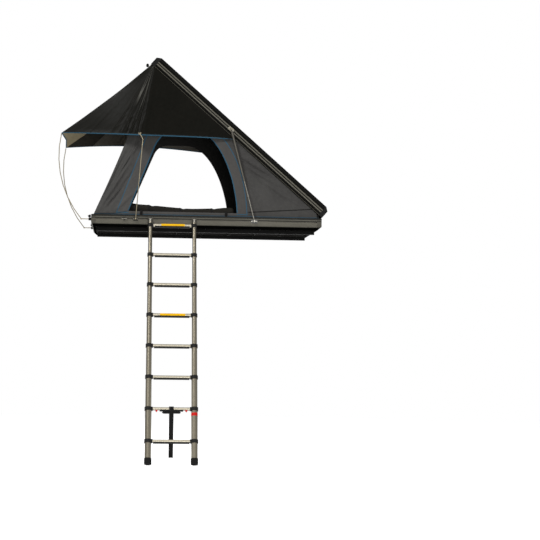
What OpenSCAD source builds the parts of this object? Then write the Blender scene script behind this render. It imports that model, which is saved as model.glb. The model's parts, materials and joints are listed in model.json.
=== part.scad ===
// Hard-shell roof top tent: an aluminium clamshell that opens as a wedge, with its fabric body,
// rain fly, gas struts and a telescopic ladder. Millimetres.
// +X points to the front, where the lid is hinged, +Y to the left and +Z up.
// The origin is the middle of the plane where the mounting channels rest on the roof bars.

/* [Case] */
// Length of the closed case
case_len = 2140; // [1900:10:2400]
// Width of the closed case
case_wid = 1300; // [1200:10:1500]
// Angle that the lid opens to
open_angle = 41; // [36:0.5:44]
// Height of the upright face of a base rail
base_face = 78; // [72:1:100]
// Height of the upright face of a lid rail
lid_face = 77; // [70:1:100]
// Height of the bevel along the outer edge of base and lid
bevel_h = 32; // [20:1:40]
// Depth of that bevel
bevel_w = 36; // [20:1:40]
// Thickness of a rail from its outer face to its inner face
rail_t = 42; // [40:1:60]
// Wall of the rail extrusions
rail_wall = 2.5; // [2:0.5:3.5]
// Width of the ledge that holds the floor or roof panel
ledge_w = 24; // [16:1:40]
// Depth of the floor and roof panels over their ribs
panel_t = 20; // [12:1:24]
// Thickness of the panels' sheet and ribs
sheet_t = 1.5; // [1.5:0.5:3]
// Gap between base and closed lid, filled by the seal
seal_gap = 3; // [2:0.5:5]

/* [Mounting channels] */
// Height of a mounting channel
channel_h = 26; // [20:1:40]
// Width of a mounting channel
channel_w = 40; // [30:1:60]
// Distance between the middle lines of the two channels
channel_gap = 800; // [600:10:1000]
// Distance between the bolt holes along a channel
bolt_gap = 900; // [600:10:1200]
// Radius of a bolt hole
bolt_r = 4.5; // [3.5:0.5:6.5]

/* [Hinge] */
// Radius of the hinge pin
pin_r = 4; // [3:0.5:5]
// Radius of the hinge knuckles
knuckle_r = 8; // [7:0.5:9]
// Length of one hinge
hinge_len = 160; // [120:10:240]
// Distance between neighbouring hinges
hinge_gap = 450; // [350:10:520]

/* [Gas struts] */
// Distance of the upper pivot from the hinge, along the lid
strut_up = 1190; // [1100:10:1250]
// Distance of the lower pivot from the hinge, along the base
strut_down = 640; // [600:10:700]
// Length of the gas cylinder
barrel_len = 500; // [470:5:510]
// Radius of the gas cylinder
barrel_r = 11; // [9:0.5:13]
// Radius of the piston rod
rod_r = 5; // [4:0.5:6]

/* [Fabric] */
// Thickness of the wall fabric and of the fly
cloth_t = 2.5; // [1.5:0.5:4]
// Distance from the outer face of a rail to the wall fabric
wall_inset = 20; // [16:1:26]
// Height of the door sill above the base
sill_h = 42; // [30:1:80]
// Top of the side doors above the base
door_top = 827; // [700:10:900]
// Wall behind the door at the rim
door_behind = 330; // [250:5:400]
// Distance of the door's front corner from the hinge line
door_ahead = 798; // [700:2:900]
// Thickness of the mattress
mattress_t = 62; // [40:1:70]

/* [Fly poles] */
// Radius of a spring steel fly pole
pole_r = 4; // [3:0.5:5]
// Radius of the curve that a pole is bent to
pole_bend = 925; // [800:5:1100]
// Angle from upright at the foot of a rear pole's curve
pole_foot = 40; // [36:0.5:46]
// Angle that a rear pole's curve turns through
pole_turn = 52.2; // [44:0.2:56]
// Angle from upright at the foot of a side pole's curve
side_foot = 30; // [26:0.5:34]
// Angle that a side pole's curve turns through
side_turn = 50.5; // [44:0.5:56]
// Reach of a rear pole's straight foot from the rail
rear_leg = 94; // [60:1:120]
// Reach of a side pole's straight foot from the rail
side_leg = 46; // [40:1:80]
// Gap between the ladder's rear stile and a side pole
side_pole_gap = 136; // [100:1:200]
// Distance of a rear pole from the side of the case
rear_pole_in = 95; // [60:1:160]

/* [Ladder] */
// Distance between neighbouring rungs
rung_pitch = 295; // [260:5:320]
// Number of telescoping sections
sections = 7; // [5:1:7]
// Distance between the middle lines of the two stiles
stile_gap = 405; // [360:5:460]
// Outer radius of the thinnest stile tube
stile_r = 18; // [16:0.5:20]
// Step in radius from one section to the next
stile_step = 1.75; // [1.6:0.05:2]
// Wall of a stile tube
stile_wall = 1.4; // [1.2:0.1:1.5]
// Length of each tube that stays inside the next one
overlap = 60; // [40:5:90]
// Lean of the ladder from upright
ladder_lean = 20; // [12:1:30]
// Middle of the ladder behind the middle of the case
ladder_back = 323; // [250:5:360]
// Length of the lowest stile below the last rung
stile_end = 208; // [150:5:260]

/* [Hidden] */
$fn = 48;
fit = 0.3;               // clearance between pieces that only lie near each other
run = 0.06;              // radial clearance of a turning pin

base_z = channel_h;
base_h = bevel_h + base_face;
rim_z = base_z + base_h;
lid_h = lid_face + bevel_h;
lid_z = rim_z + seal_gap;
half_l = case_len / 2;
half_w = case_wid / 2;
ledge_t = 4;
slot_z = base_z + bevel_h + base_face / 2;      // middle of the slot in the base rail's face
lid_slot = lid_face / 2 + 6;                    // the same in the lid rail, above the lid's lower edge
slot_mouth = 10;
slot_width = 20;
slot_depth = 12;
rib_pitch = 6;
rib_depth = 1.2;
rib_w = 2;

hinge_x = half_l + knuckle_r + 0.5;
hinge_z = rim_z + seal_gap / 2;
strut_out = 22;                                 // middle plane of a strut, out from the rail's face
eye_w = 14;                                     // width of a strut's end eyes
seat_h = 7;                                     // raised seat at a strut's foot

// A point of the closed lid, given in the XZ plane, where the open lid puts it.
function opened(p) = let(dx = p[0] - hinge_x, dz = p[1] - hinge_z)
    [hinge_x + dx * cos(open_angle) + dz * sin(open_angle),
     hinge_z - dx * sin(open_angle) + dz * cos(open_angle)];

strut_top = opened([hinge_x - strut_up, lid_z + lid_slot]);
strut_foot = [hinge_x - strut_down, slot_z];
strut_len = norm(strut_foot - strut_top);
strut_angle = atan2(strut_foot[0] - strut_top[0], strut_top[1] - strut_foot[1]);

// Outward reach and height of a pole's curve.
function curve_reach(foot, turn) = pole_bend * (cos(turn - foot) - cos(foot));
function curve_rise(foot, turn) = pole_bend * (sin(foot) + sin(turn - foot));
pole_lean = 1.6;                                // lean of a side pole towards the front
pole_x = -ladder_back - stile_gap / 2 - side_pole_gap;
rear_pole_y = half_w - rear_pole_in;
socket_r = 13;
socket_out = 26;

pivot_y = -half_w - 34;                         // pivot line of the ladder
pivot_z = slot_z;
pivot_pin_r = 5;
first_rung = 62;
collar_h = 31;
collar_wall = 5;
boss_w = 36;
boss_h = 28;
rung_w = 34;
rung_h = 24;
last = sections;
function rung_s(k) = first_rung + rung_pitch * (k - 1);
function tube_r(k) = stile_r + stile_step * (k - 1);
ladder_end = rung_s(last) + rung_pitch + stile_end;
foot_h = 52;

latch_y = 160;
latch_v = 34;                                   // latch pivot above the lid's lower edge
latch_out = 14;                                 // latch pivot behind the lid's rear face

black = [0.09, 0.09, 0.085];
olive = [0.36, 0.35, 0.31];
grey_cloth = [0.30, 0.30, 0.29];
black_cloth = [0.13, 0.13, 0.12];
steel = [0.75, 0.74, 0.70];
silver = [0.78, 0.75, 0.70];

// Helpers

// Puts what is drawn for the right side on the side asked for.
module side(left) {
    if (left) mirror([0, 1, 0]) children();
    else children();
}

// Turns the closed lid's pieces up to the open lid.
module on_lid() {
    translate([hinge_x, 0, hinge_z]) rotate([0, open_angle, 0]) translate([-hinge_x, 0, -hinge_z])
        children();
}

// Extrudes a rail section along X at the left rim, or along Y at the front rim.
module along_x(length) {
    translate([0, half_w, 0]) rotate([90, 0, 90]) linear_extrude(length, center = true) children();
}
module along_y(length) {
    translate([half_l, 0, 0]) rotate([90, 0, 0]) linear_extrude(length, center = true) children();
}

// Outline of a rail: 0 is the outer face, the bevel is at the bottom.
module rail_outline(face, depth) {
    polygon([[-depth, 0], [-bevel_w, 0], [0, bevel_h], [0, bevel_h + face], [-depth, bevel_h + face]]);
}

// A hollow rail section with a ribbed face, a slot for sliding bolts and, if asked, a panel ledge.
module rail_section(face, slot_v, ledge) {
    h = bevel_h + face;
    in_x = -rail_t + rail_wall;
    low_top = slot_v - slot_width / 2 - rail_wall;
    high_bottom = slot_v + slot_width / 2 + rail_wall;
    difference() {
        union() {
            rail_outline(face, rail_t);
            if (ledge) translate([-rail_t - ledge_w, 0]) square([ledge_w + 1, ledge_t]);
        }
        polygon([[in_x, 2 * rail_wall], [-bevel_w + rail_wall, 2 * rail_wall],
                 [-rail_wall, bevel_h + rail_wall], [-rail_wall, low_top], [in_x, low_top]]);
        translate([in_x, high_bottom]) square([rail_t - 2 * rail_wall, h - rail_wall - high_bottom]);
        translate([-slot_depth, slot_v - slot_mouth / 2]) square([slot_depth + 1, slot_mouth]);
        translate([-slot_depth, slot_v - slot_width / 2]) square([slot_depth - rail_wall, slot_width]);
        for (v = [bevel_h + rib_pitch : rib_pitch : h - rib_pitch])
            if (abs(v - slot_v) > slot_width / 2)
                translate([-rib_depth, v - rib_w / 2]) square([rib_depth + 1, rib_w]);
    }
}

module base_section(ledge) {
    rail_section(base_face, slot_z - base_z, ledge);
}

// The lid's section is the same kind of rail upside down.
module lid_section(ledge) {
    translate([0, lid_h]) mirror([0, 1]) rail_section(lid_face, lid_h - lid_slot, ledge);
}

// One corner block, where the two bevelled outlines meet.
module corner_block() {
    intersection() {
        along_x(case_len) children();
        along_y(case_wid) children();
        translate([half_l - rail_t, half_w - rail_t, 0]) cube([rail_t, rail_t, 2 * rim_z]);
    }
}
module four_corners() {
    for (mx = [0, 1], my = [0, 1]) mirror([mx, 0, 0]) mirror([0, my, 0]) children();
}

// Base

// A sheet that fills the frame, stiffened by crossing ribs on one face.
module ribbed_panel() {
    l = case_len - 2 * rail_t;
    w = case_wid - 2 * rail_t;
    ribs_along = 5;
    ribs_across = 9;
    translate([-l / 2, -w / 2, panel_t - sheet_t]) cube([l, w, sheet_t]);
    for (i = [0 : ribs_along - 1])
        translate([-l / 2, -w / 2 + i * (w - sheet_t) / (ribs_along - 1), 0]) cube([l, sheet_t, panel_t]);
    for (i = [0 : ribs_across - 1])
        translate([-l / 2 + i * (l - sheet_t) / (ribs_across - 1), -w / 2, 0]) cube([sheet_t, w, panel_t]);
}

module floor_panel() {
    color(black) translate([0, 0, base_z + ledge_t]) ribbed_panel();
}

module base_rail_side(left) {
    color(olive) side(!left) translate([0, 0, base_z]) along_x(case_len - 2 * rail_t) base_section(true);
}

module base_rail_front() {
    color(olive) translate([0, 0, base_z]) along_y(case_wid - 2 * rail_t) base_section(false);
}

module base_rail_rear() {
    mirror([1, 0, 0]) base_rail_front();
}

module base_corners() {
    color(black) four_corners() translate([0, 0, base_z]) corner_block() rail_outline(base_face, 2 * rail_t);
}

// Two box channels under the floor, drilled for the bolts of the roof bars.
module mount_channels() {
    wall = 3;
    color(silver) for (s = [-1, 1]) translate([0, s * channel_gap / 2, 0]) difference() {
        translate([-half_l + rail_t, -channel_w / 2, 0])
            cube([case_len - 2 * rail_t, channel_w, channel_h + ledge_t]);
        translate([-half_l, -channel_w / 2 + wall, wall])
            cube([case_len, channel_w - 2 * wall, channel_h + ledge_t - 2 * wall]);
        for (x = [-1, 1]) translate([x * bolt_gap / 2, 0, -1]) cylinder(r = bolt_r, h = wall + 2);
    }
}

// Rubber strip round the rim, which the lid closes on.
module rim_seal() {
    strip = 10;
    edge = 6;
    color(black) translate([0, 0, rim_z]) linear_extrude(seal_gap - fit) difference() {
        square([case_len - 2 * edge, case_wid - 2 * edge], center = true);
        square([case_len - 2 * edge - 2 * strip, case_wid - 2 * edge - 2 * strip], center = true);
    }
}

// Foam mattress: a crowned slab whose sides are drawn in between its corners.
module mattress() {
    room = 16;
    l = half_l - rail_t - room;
    w = half_w - rail_t - room;
    z0 = base_z + ledge_t + panel_t;
    draw_in = 10;
    n = 24;
    function bow(t) = 1 - abs(t);
    function rim(i) = let(q = floor(i / n), t = 2 * (i % n) / n - 1, d = draw_in * bow(t))
        q == 0 ? [l - d, t * w] : q == 1 ? [-t * l, w - d] : q == 2 ? [-l + d, -t * w] : [t * l, -w + d];
    layers = [[0.985, 0], [1, 0.35], [1, 0.7], [0.97, 0.88], [0.75, 0.97], [0.4, 1]];
    points = concat([[0, 0, z0]], [for (r = layers, i = [0 : 4 * n - 1])
        [rim(i)[0] * r[0], rim(i)[1] * r[0], z0 + r[1] * mattress_t]], [[0, 0, z0 + mattress_t]]);
    m = 4 * n;
    top = 1 + len(layers) * m;
    faces = concat([for (i = [0 : m - 1]) [0, 1 + i, 1 + (i + 1) % m]],
        [for (j = [0 : len(layers) - 2], i = [0 : m - 1], h = [0, 1])
            let(a = 1 + j * m + i, b = 1 + j * m + (i + 1) % m)
            h == 0 ? [a, a + m, b] : [b, a + m, b + m]],
        [for (i = [0 : m - 1]) [top, top - m + (i + 1) % m, top - m + i]]);
    color(grey_cloth) polyhedron(points, faces);
}

// Hinge

// The knuckles of one leaf: every second one, starting at the first or the second.
module knuckles(first) {
    n = 4;
    each_len = hinge_len / n;
    gap = 0.5;
    for (i = [first : 2 : n - 1])
        translate([hinge_x, -hinge_len / 2 + i * each_len + gap / 2, hinge_z]) one_knuckle(each_len - gap);
}
module one_knuckle(length) {
    leaf_t = 3;
    rotate([-90, 0, 0]) cylinder(r = knuckle_r, h = length);
    translate([-knuckle_r - 0.5, 0, -knuckle_r - 6]) cube([leaf_t, length, knuckle_r + 6]);
}
module hinge_leaf(first) {
    leaf_t = 3;
    leaf_h = 34;
    below = 9;
    for (y = [-hinge_gap, 0, hinge_gap]) translate([0, y, 0]) difference() {
        union() {
            knuckles(first);
            translate([half_l, -hinge_len / 2, hinge_z - below - leaf_h]) cube([leaf_t, hinge_len, leaf_h]);
        }
        translate([hinge_x, 0, hinge_z]) rotate([90, 0, 0])
            cylinder(r = pin_r + run, h = hinge_len + 2, center = true);
    }
}
module hinge_leaf_base() {
    color(steel) hinge_leaf(0);
}
module hinge_leaf_lid() {
    color(steel) on_lid() translate([0, 0, 2 * hinge_z]) mirror([0, 0, 1]) hinge_leaf(1);
}
module hinge_pins() {
    head = 2;
    color(steel) for (y = [-hinge_gap, 0, hinge_gap]) translate([hinge_x, y, hinge_z]) rotate([90, 0, 0]) {
        cylinder(r = pin_r, h = hinge_len + 1, center = true);
        for (s = [-1, 1]) translate([0, 0, s * (hinge_len / 2 + fit + head / 2)])
            cylinder(r = knuckle_r - 2, h = head, center = true);
    }
}

// Fittings on the base

// Plates with a raised seat, one at the foot of each strut.
module strut_brackets_base() {
    plate = [56, 34, 4];
    color(black) for (s = [-1, 1]) translate([strut_foot[0], s * half_w, slot_z]) rotate([-s * 90, 0, 0]) {
        linear_extrude(plate[2]) square([plate[0], plate[1]], center = true);
        cylinder(r = eye_r, h = seat_h);
    }
}

// A round boss on a foot plate. The pole's straight foot turns in its bore.
module pole_socket() {
    plate = [4, 44, 28];
    color(black) difference() {
        union() {
            translate([0, -plate[1] / 2, -plate[2] / 2]) cube(plate);
            rotate([0, 90, 0]) cylinder(r = socket_r, h = socket_out);
        }
        translate([plate[0], 0, 0]) rotate([0, 90, 0]) cylinder(r = pole_r + run, h = socket_out);
    }
}
module pole_sockets() {
    for (left = [false, true]) side(left) {
        translate([-half_l, -rear_pole_y, slot_z]) mirror([1, 0, 0]) pole_socket();
        translate([pole_x, -half_w, slot_z]) rotate([0, 0, -90]) pole_socket();
    }
}

// Two eared brackets, bolted in the slot, that carry the ladder's head.
module ladder_brackets() {
    plate = [50, 5, 50];
    ear_t = 5;
    ear_gap = 22;
    color(steel) for (s = [-1, 1]) translate([-ladder_back + s * stile_gap / 2, 0, pivot_z]) {
        translate([-plate[0] / 2, -half_w - plate[1], -plate[2] / 2]) cube(plate);
        for (e = [-1, 1]) translate([e * (ear_gap + ear_t) / 2, 0, 0]) {
            translate([-ear_t / 2, pivot_y, -13]) cube([ear_t, -half_w - plate[1] - pivot_y + 1, 26]);
            translate([0, pivot_y, 0]) rotate([0, 90, 0]) cylinder(r = 13, h = ear_t, center = true);
        }
        translate([0, pivot_y, 0]) rotate([0, 90, 0])
            cylinder(r = pivot_pin_r, h = ear_gap + 2 * ear_t + 8, center = true);
    }
}

// Hooked plates on the rear rail for the two latches.
module latch_catches() {
    w = 40;
    color(steel) for (s = [-1, 1]) translate([-half_l, s * latch_y - w / 2, slot_z - 22]) {
        translate([-4, 0, 0]) cube([4, w, 44]);
        translate([-12, 0, 8]) cube([9, w, 4]);
        translate([-12, 0, 0]) cube([4, w, 9]);
    }
}

// Fabric body: two side walls with their doors and the sloping rear wall

function bezier(a, b, c, d, t) =
    pow(1 - t, 3) * a + 3 * pow(1 - t, 2) * t * b + 3 * (1 - t) * t * t * c + t * t * t * d;

rear_foot = [-half_l + wall_inset, rim_z + fit];
rear_head = opened([-half_l + wall_inset, lid_z - fit]);
front_head = opened([hinge_x - 40, lid_z - fit]);

// The door's outline: straight behind, arched in front.
door_low = rim_z + sill_h;
door_high = rim_z + door_top;
door_rear = [rear_foot[0] + door_behind, door_low];
door_front = [hinge_x - door_ahead, door_low];
door_w = door_front[0] - door_rear[0];
door_slope = 0.431;
function door_outline(n) = let(
        crown = [door_rear[0] + 0.57 * door_w, door_high],
        corner = [door_rear[0] + door_slope * (door_high - door_low), door_high],
        front_pull = [-16, 0.438 * (door_high - door_low)],
        crown_pull = [0.32 * door_w, -5],
        turn = 90)
    concat([for (i = [0 : n]) bezier(door_front, door_front + front_pull, crown + crown_pull, crown, i / n)],
           [for (i = [0 : n / 2]) bezier(corner + [turn, 0], corner, corner,
                                         corner - turn * [door_slope, 1], 2 * i / n)],
           [door_rear]);

module side_wall() {
    translate([0, -half_w + wall_inset + cloth_t, 0]) rotate([90, 0, 0]) linear_extrude(cloth_t)
        difference() {
            polygon([rear_foot, [front_head[0], rear_foot[1]], front_head, rear_head]);
            polygon(door_outline(14));
        }
}
module tent_body() {
    run_up = norm(rear_head - rear_foot);
    lean = atan2(rear_head[0] - rear_foot[0], rear_head[1] - rear_foot[1]);
    color(grey_cloth) {
        for (left = [false, true]) side(left) side_wall();
        translate([rear_foot[0], 0, rear_foot[1]]) rotate([0, lean, 0])
            translate([0, -half_w + wall_inset, 1]) cube([cloth_t, case_wid - 2 * wall_inset, run_up - 3]);
    }
}

// The opened door panels, each rolled and laid along its sill on the edge of the mattress.
module door_rolls() {
    roll_w = 44;
    roll_h = 47;
    rings = 20;
    sides = 14;
    x0 = door_rear[0] + 20;
    x1 = door_front[0] - 20;
    edge_share = 0.885;    // height of the mattress where the roll lies, as a share of its full height
    z0 = base_z + ledge_t + panel_t + edge_share * mattress_t + fit + roll_h;
    y0 = -half_w + rail_t + roll_w + 4;
    // Slack towards the middle, thin at the two ends.
    function swell(t) = (0.55 + 0.45 * pow(sin(180 * t), 0.3)) * (1 - 0.12 * exp(-pow((t - 0.58) / 0.09, 2)));
    points = [for (j = [0 : rings], i = [0 : sides - 1]) let(t = j / rings, a = 360 * i / sides)
        [x0 + t * (x1 - x0), y0 + roll_w * swell(t) * cos(a), z0 + roll_h * (swell(t) * (1 + sin(a)) - 1)]];
    faces = concat([[for (i = [0 : sides - 1]) i]], [[for (i = [sides - 1 : -1 : 0]) rings * sides + i]],
        [for (j = [0 : rings - 1], i = [0 : sides - 1], h = [0, 1])
            let(a = j * sides + i, b = j * sides + (i + 1) % sides)
            h == 0 ? [a, a + sides, b] : [b, a + sides, b + sides]]);
    color(black_cloth) for (left = [false, true]) side(left) polyhedron(points, faces);
}

// Lid

module lid_panel() {
    color(black) on_lid() translate([0, 0, lid_z + lid_h - ledge_t - panel_t]) ribbed_panel();
}
module lid_rail_side(left) {
    color(black) on_lid() side(!left) translate([0, 0, lid_z])
        along_x(case_len - 2 * rail_t) lid_section(true);
}
module lid_rail_front() {
    color(black) on_lid() translate([0, 0, lid_z]) along_y(case_wid - 2 * rail_t) lid_section(false);
}
module lid_rail_rear() {
    color(black) on_lid() mirror([1, 0, 0]) translate([0, 0, lid_z])
        along_y(case_wid - 2 * rail_t) lid_section(false);
}
module lid_corners() {
    color(black) on_lid() four_corners() translate([0, 0, lid_z + lid_h]) mirror([0, 0, 1])
        corner_block() rail_outline(lid_face, 2 * rail_t);
}
module lid_liner() {
    liner_t = 5;
    color(grey_cloth) on_lid()
        translate([-half_l + rail_t + 1, -half_w + rail_t + 1,
                   lid_z + lid_h - ledge_t - panel_t - liner_t - fit])
            cube([case_len - 2 * rail_t - 2, case_wid - 2 * rail_t - 2, liner_t]);
}

// A plate on the lid rail with the pin that the strut's upper eye turns on.
module strut_brackets_lid() {
    color(black) for (s = [-1, 1]) translate([strut_top[0], s * half_w, strut_top[1]])
        rotate([0, open_angle, 0]) rotate([-s * 90, 0, 0]) {
            linear_extrude(4) square([56, 34], center = true);
            cylinder(r = 9, h = strut_out - eye_w / 2 - 0.5);
            cylinder(r = pin_r, h = strut_out + eye_w / 2 + 1);
            translate([0, 0, strut_out + eye_w / 2 + 0.5]) cylinder(r = 7, h = 3);
        }
}

// Latches on the lid's rear face

module latch_bodies() {
    w = 50;
    ear = 5;
    color(black) on_lid() for (s = [-1, 1]) translate([-half_l, s * latch_y, lid_z + latch_v]) {
        translate([-4, -w / 2, -20]) cube([4, w, 40]);
        for (e = [-1, 1]) translate([0, e * (w - ear) / 2, 0]) rotate([90, 0, 0]) {
            translate([-latch_out, 0, 0]) cylinder(r = 9, h = ear, center = true);
            translate([-latch_out, -9, -ear / 2]) cube([latch_out, 18, ear]);
        }
        translate([-latch_out, 0, 0]) rotate([90, 0, 0]) cylinder(r = 3, h = w + 4, center = true);
    }
}

// A lever that stands out from the lid when it is undone, with a wire loop for the catch.
module latch_lever(s) {
    w = 38;
    reach = 52;
    wire = 2.5;
    color(black) on_lid() translate([-half_l - latch_out, s * latch_y, lid_z + latch_v]) {
        difference() {
            union() {
                rotate([90, 0, 0]) cylinder(r = 7, h = w, center = true);
                translate([-reach, -w / 2, -4]) cube([reach, w, 8]);
                translate([-reach, 0, 0]) rotate([90, 0, 0]) cylinder(r = 6, h = w, center = true);
            }
            rotate([90, 0, 0]) cylinder(r = 3 + run, h = w + 2, center = true);
            translate([-reach + 10, -w / 2 + 9, -5]) cube([reach - 26, w - 18, 10]);
        }
        for (e = [-1, 1]) translate([-reach / 2 - 6, e * 12, 4]) cylinder(r = wire, h = 22);
        translate([-reach / 2 - 6, 0, 26]) rotate([90, 0, 0])
            cylinder(r = wire, h = 24 + 2 * wire, center = true);
    }
}

// Rain fly: a sheet hung under the lid's rim, from one side rail round the rear to the other. It folds
// inward in three panels: right, rear and left.

fly_inset = 4;
fly_past = 75;                                  // how far the fly runs on past the strut's upper end
fly_corner = 40;                                // radius of the fly's upper corner
fly_front = opened([hinge_x - strut_up + fly_past, lid_z - fit]);
fly_bend = opened([-half_l + fly_corner, lid_z - fit]);
fly_back = opened([-half_l + fly_inset, lid_z - fit]);
fly_y = half_w - fly_inset;
tip_gap = 4;
side_rise = curve_rise(side_foot, side_turn);
pole_tip_side = [pole_x + side_rise * sin(pole_lean),
                 -half_w - side_leg - curve_reach(side_foot, side_turn), slot_z + side_rise * cos(pole_lean)];
pole_tip_rear = [-half_l - rear_leg - curve_reach(pole_foot, pole_turn), -rear_pole_y,
                 slot_z + curve_rise(pole_foot, pole_turn)];

function mix(a, b, t) = a + (b - a) * t;

// Upper edge and hem by a running value: 0 to 1 along the side rail, 1 to 2 round the corner,
// 2 to 3 along the rear to the middle, and 3 to 6 the same on the left.
function fly_top(s) =
    s > 3 ? let(p = fly_top(6 - s)) [p[0], -p[1], p[2]] :
    s <= 1 ? mix([fly_front[0], -fly_y, fly_front[1]], [fly_bend[0], -fly_y, fly_bend[1]], s) :
    s <= 2 ? let(a = 90 * (s - 1), b = sin(a))
        let(p = mix(fly_bend, fly_back, b))
        [p[0], -fly_y + fly_corner * (1 - cos(a)), p[1]] :
    [fly_back[0], mix(-fly_y + fly_corner, 0, s - 2), fly_back[1]];

hem_slack = 22;
hem_start = [fly_front[0] - 6, -fly_y - 4, fly_front[1] - 26];
hem_side = pole_tip_side + [0, -tip_gap, tip_gap];
hem_corner = pole_tip_rear + [-tip_gap, -tip_gap, tip_gap];
function fly_hem(s) =
    s > 3 ? let(p = fly_hem(6 - s)) [p[0], -p[1], p[2]] :
    s <= 1 ? mix(hem_start, hem_side, s) + [0, hem_slack * sin(180 * s), 0] :
    s <= 2 ? mix(hem_side, hem_corner, s - 1) + [0, hem_slack * sin(180 * (s - 1)), 0] :
    mix(hem_corner, [hem_corner[0] + hem_slack, 0, hem_corner[2] + 6], s - 2);

// Where the side panels meet the rear one, and half the gap between them.
fly_split = 1.64;
fly_seam = 0.004;

// The running values between stops, in equal steps.
function steps(stops, n) = concat([stops[0]], [for (k = [1 : len(stops) - 1], i = [1 : n])
    mix(stops[k - 1], stops[k], i / n)]);

module fly_panel(stops) {
    rows = 6;
    sag = 16;
    columns = steps(stops, 6);
    cols = len(columns);
    // The sheet is drawn in a little between rim and hem.
    inward = [0.4, 0, -0.9];
    function at(i, j, out) = mix(fly_top(columns[i]), fly_hem(columns[i]), j / rows)
        + inward * (sag * sin(180 * j / rows) + (out ? 0 : cloth_t));
    points = concat([for (i = [0 : cols - 1], j = [0 : rows]) at(i, j, true)],
                    [for (i = [0 : cols - 1], j = [0 : rows]) at(i, j, false)]);
    back = cols * (rows + 1);
    function id(i, j) = i * (rows + 1) + j;
    function pair(a, b, c, d) = [[a, b, c], [a, c, d]];
    skin = [for (i = [0 : cols - 2], j = [0 : rows - 1],
                 f = pair(id(i, j), id(i + 1, j), id(i + 1, j + 1), id(i, j + 1))) f];
    rim = concat([for (i = [0 : cols - 2]) [id(i, 0), id(i + 1, 0)]],
                 [for (j = [0 : rows - 1]) [id(cols - 1, j), id(cols - 1, j + 1)]],
                 [for (i = [cols - 2 : -1 : 0]) [id(i + 1, rows), id(i, rows)]],
                 [for (j = [rows - 1 : -1 : 0]) [id(0, j + 1), id(0, j)]]);
    faces = concat(skin, [for (f = skin) [f[2] + back, f[1] + back, f[0] + back]],
                   [for (e = rim, f = pair(e[1], e[0], e[0] + back, e[1] + back)) f]);
    color(black_cloth) polyhedron(points, faces);
}
module fly_right() {
    fly_panel([0, 1, fly_split - fly_seam]);
}
module fly_rear() {
    fly_panel([fly_split + fly_seam, 2, 3, 4, 6 - fly_split - fly_seam]);
}
module fly_left() {
    fly_panel([6 - fly_split + fly_seam, 5, 6]);
}

// Gas struts: the cylinder hangs from the lid and the piston rod reaches down to the base

barrel_wall = 1.5;
eye_r = 10;

// Draws along -Z from the upper pivot, then turns the strut to its rest angle.
module on_strut(left) {
    side(left) translate([strut_top[0], -half_w - strut_out, strut_top[1]])
        rotate([0, -strut_angle, 0]) children();
}
module strut_barrel(left) {
    color(black) on_strut(left) {
        difference() {
            union() {
                rotate([90, 0, 0]) cylinder(r = eye_r, h = eye_w, center = true);
                translate([0, 0, -30]) cylinder(r = 6, h = 24);
                translate([0, 0, -barrel_len]) cylinder(r = barrel_r, h = barrel_len - 28);
            }
            rotate([90, 0, 0]) cylinder(r = pin_r + run, h = eye_w + 2, center = true);
            translate([0, 0, -barrel_len + 14]) cylinder(r = barrel_r - barrel_wall, h = barrel_len - 50);
            translate([0, 0, -barrel_len - 1]) cylinder(r = rod_r + 0.1, h = 20);
        }
    }
}
module strut_rod(left) {
    piston_h = 14;
    color(steel) on_strut(left) translate([0, 0, -strut_len]) {
        cylinder(r = rod_r, h = strut_len - barrel_len + 30);
        translate([0, 0, strut_len - barrel_len + 30])
            cylinder(r = barrel_r - barrel_wall - 0.2, h = piston_h);
        rotate([90, 0, 0]) cylinder(r = eye_r, h = eye_w, center = true);
        rotate([-90, 0, 0]) cylinder(r = 4, h = strut_out - seat_h - fit);
    }
}

// Fly poles: bent spring steel, with a foot pin that turns in its socket

// Drawn outward along +X from the rail's face: a straight foot, a welded elbow and a curve in the XZ plane.
module pole(leg, foot, turn, lean) {
    color(steel) rotate([-lean, 0, 0]) {
        translate([4 + fit, 0, 0]) rotate([0, 90, 0]) cylinder(r = pole_r, h = leg - 4 - fit);
        translate([leg, 0, 0]) rotate([90, 0, 0]) cylinder(r = pole_r + 3, h = 12, center = true);
        translate([leg, 0, 0]) rotate([90, 0, 0])
            translate([-pole_bend * cos(foot), pole_bend * sin(foot), 0])
                rotate([0, 0, -foot]) rotate_extrude(angle = turn)
                    translate([pole_bend, 0]) circle(r = pole_r);
    }
}
module pole_rear(left) {
    side(left) translate([-half_l, -rear_pole_y, slot_z]) mirror([1, 0, 0])
        pole(rear_leg, pole_foot, pole_turn, 0);
}
module pole_side(left) {
    side(left) translate([pole_x, -half_w, slot_z]) rotate([0, 0, -90])
        pole(side_leg, side_foot, side_turn, pole_lean);
}

// Ladder, drawn hanging straight down from its pivot line and then leaned out

module on_ladder() {
    translate([-ladder_back, pivot_y, pivot_z]) rotate([-ladder_lean, 0, 0]) children();
}
module both_stiles() {
    for (s = [-1, 1]) translate([s * stile_gap / 2, 0, 0]) children();
}

// Pivot tongues with the plugs that close the top tubes.
module ladder_heads() {
    eye = 11;
    eye_w = 20;
    neck = 9;
    cap_low = 30;
    cap_h = 8;
    plug_h = 34;
    plug_r = stile_r - stile_wall - 0.1;
    color(steel) on_ladder() both_stiles() difference() {
        union() {
            rotate([0, 90, 0]) cylinder(r = eye, h = eye_w, center = true);
            translate([0, 0, cap_h / 2 - cap_low]) cylinder(r = neck, h = cap_low - eye + cap_h / 2);
            translate([0, 0, -cap_low]) cylinder(r = stile_r, h = cap_h);
            translate([0, 0, -cap_low - plug_h]) cylinder(r = plug_r, h = plug_h + cap_h / 2);
        }
        rotate([0, 90, 0]) cylinder(r = pivot_pin_r + run, h = eye_w + 4, center = true);
    }
}

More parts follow.
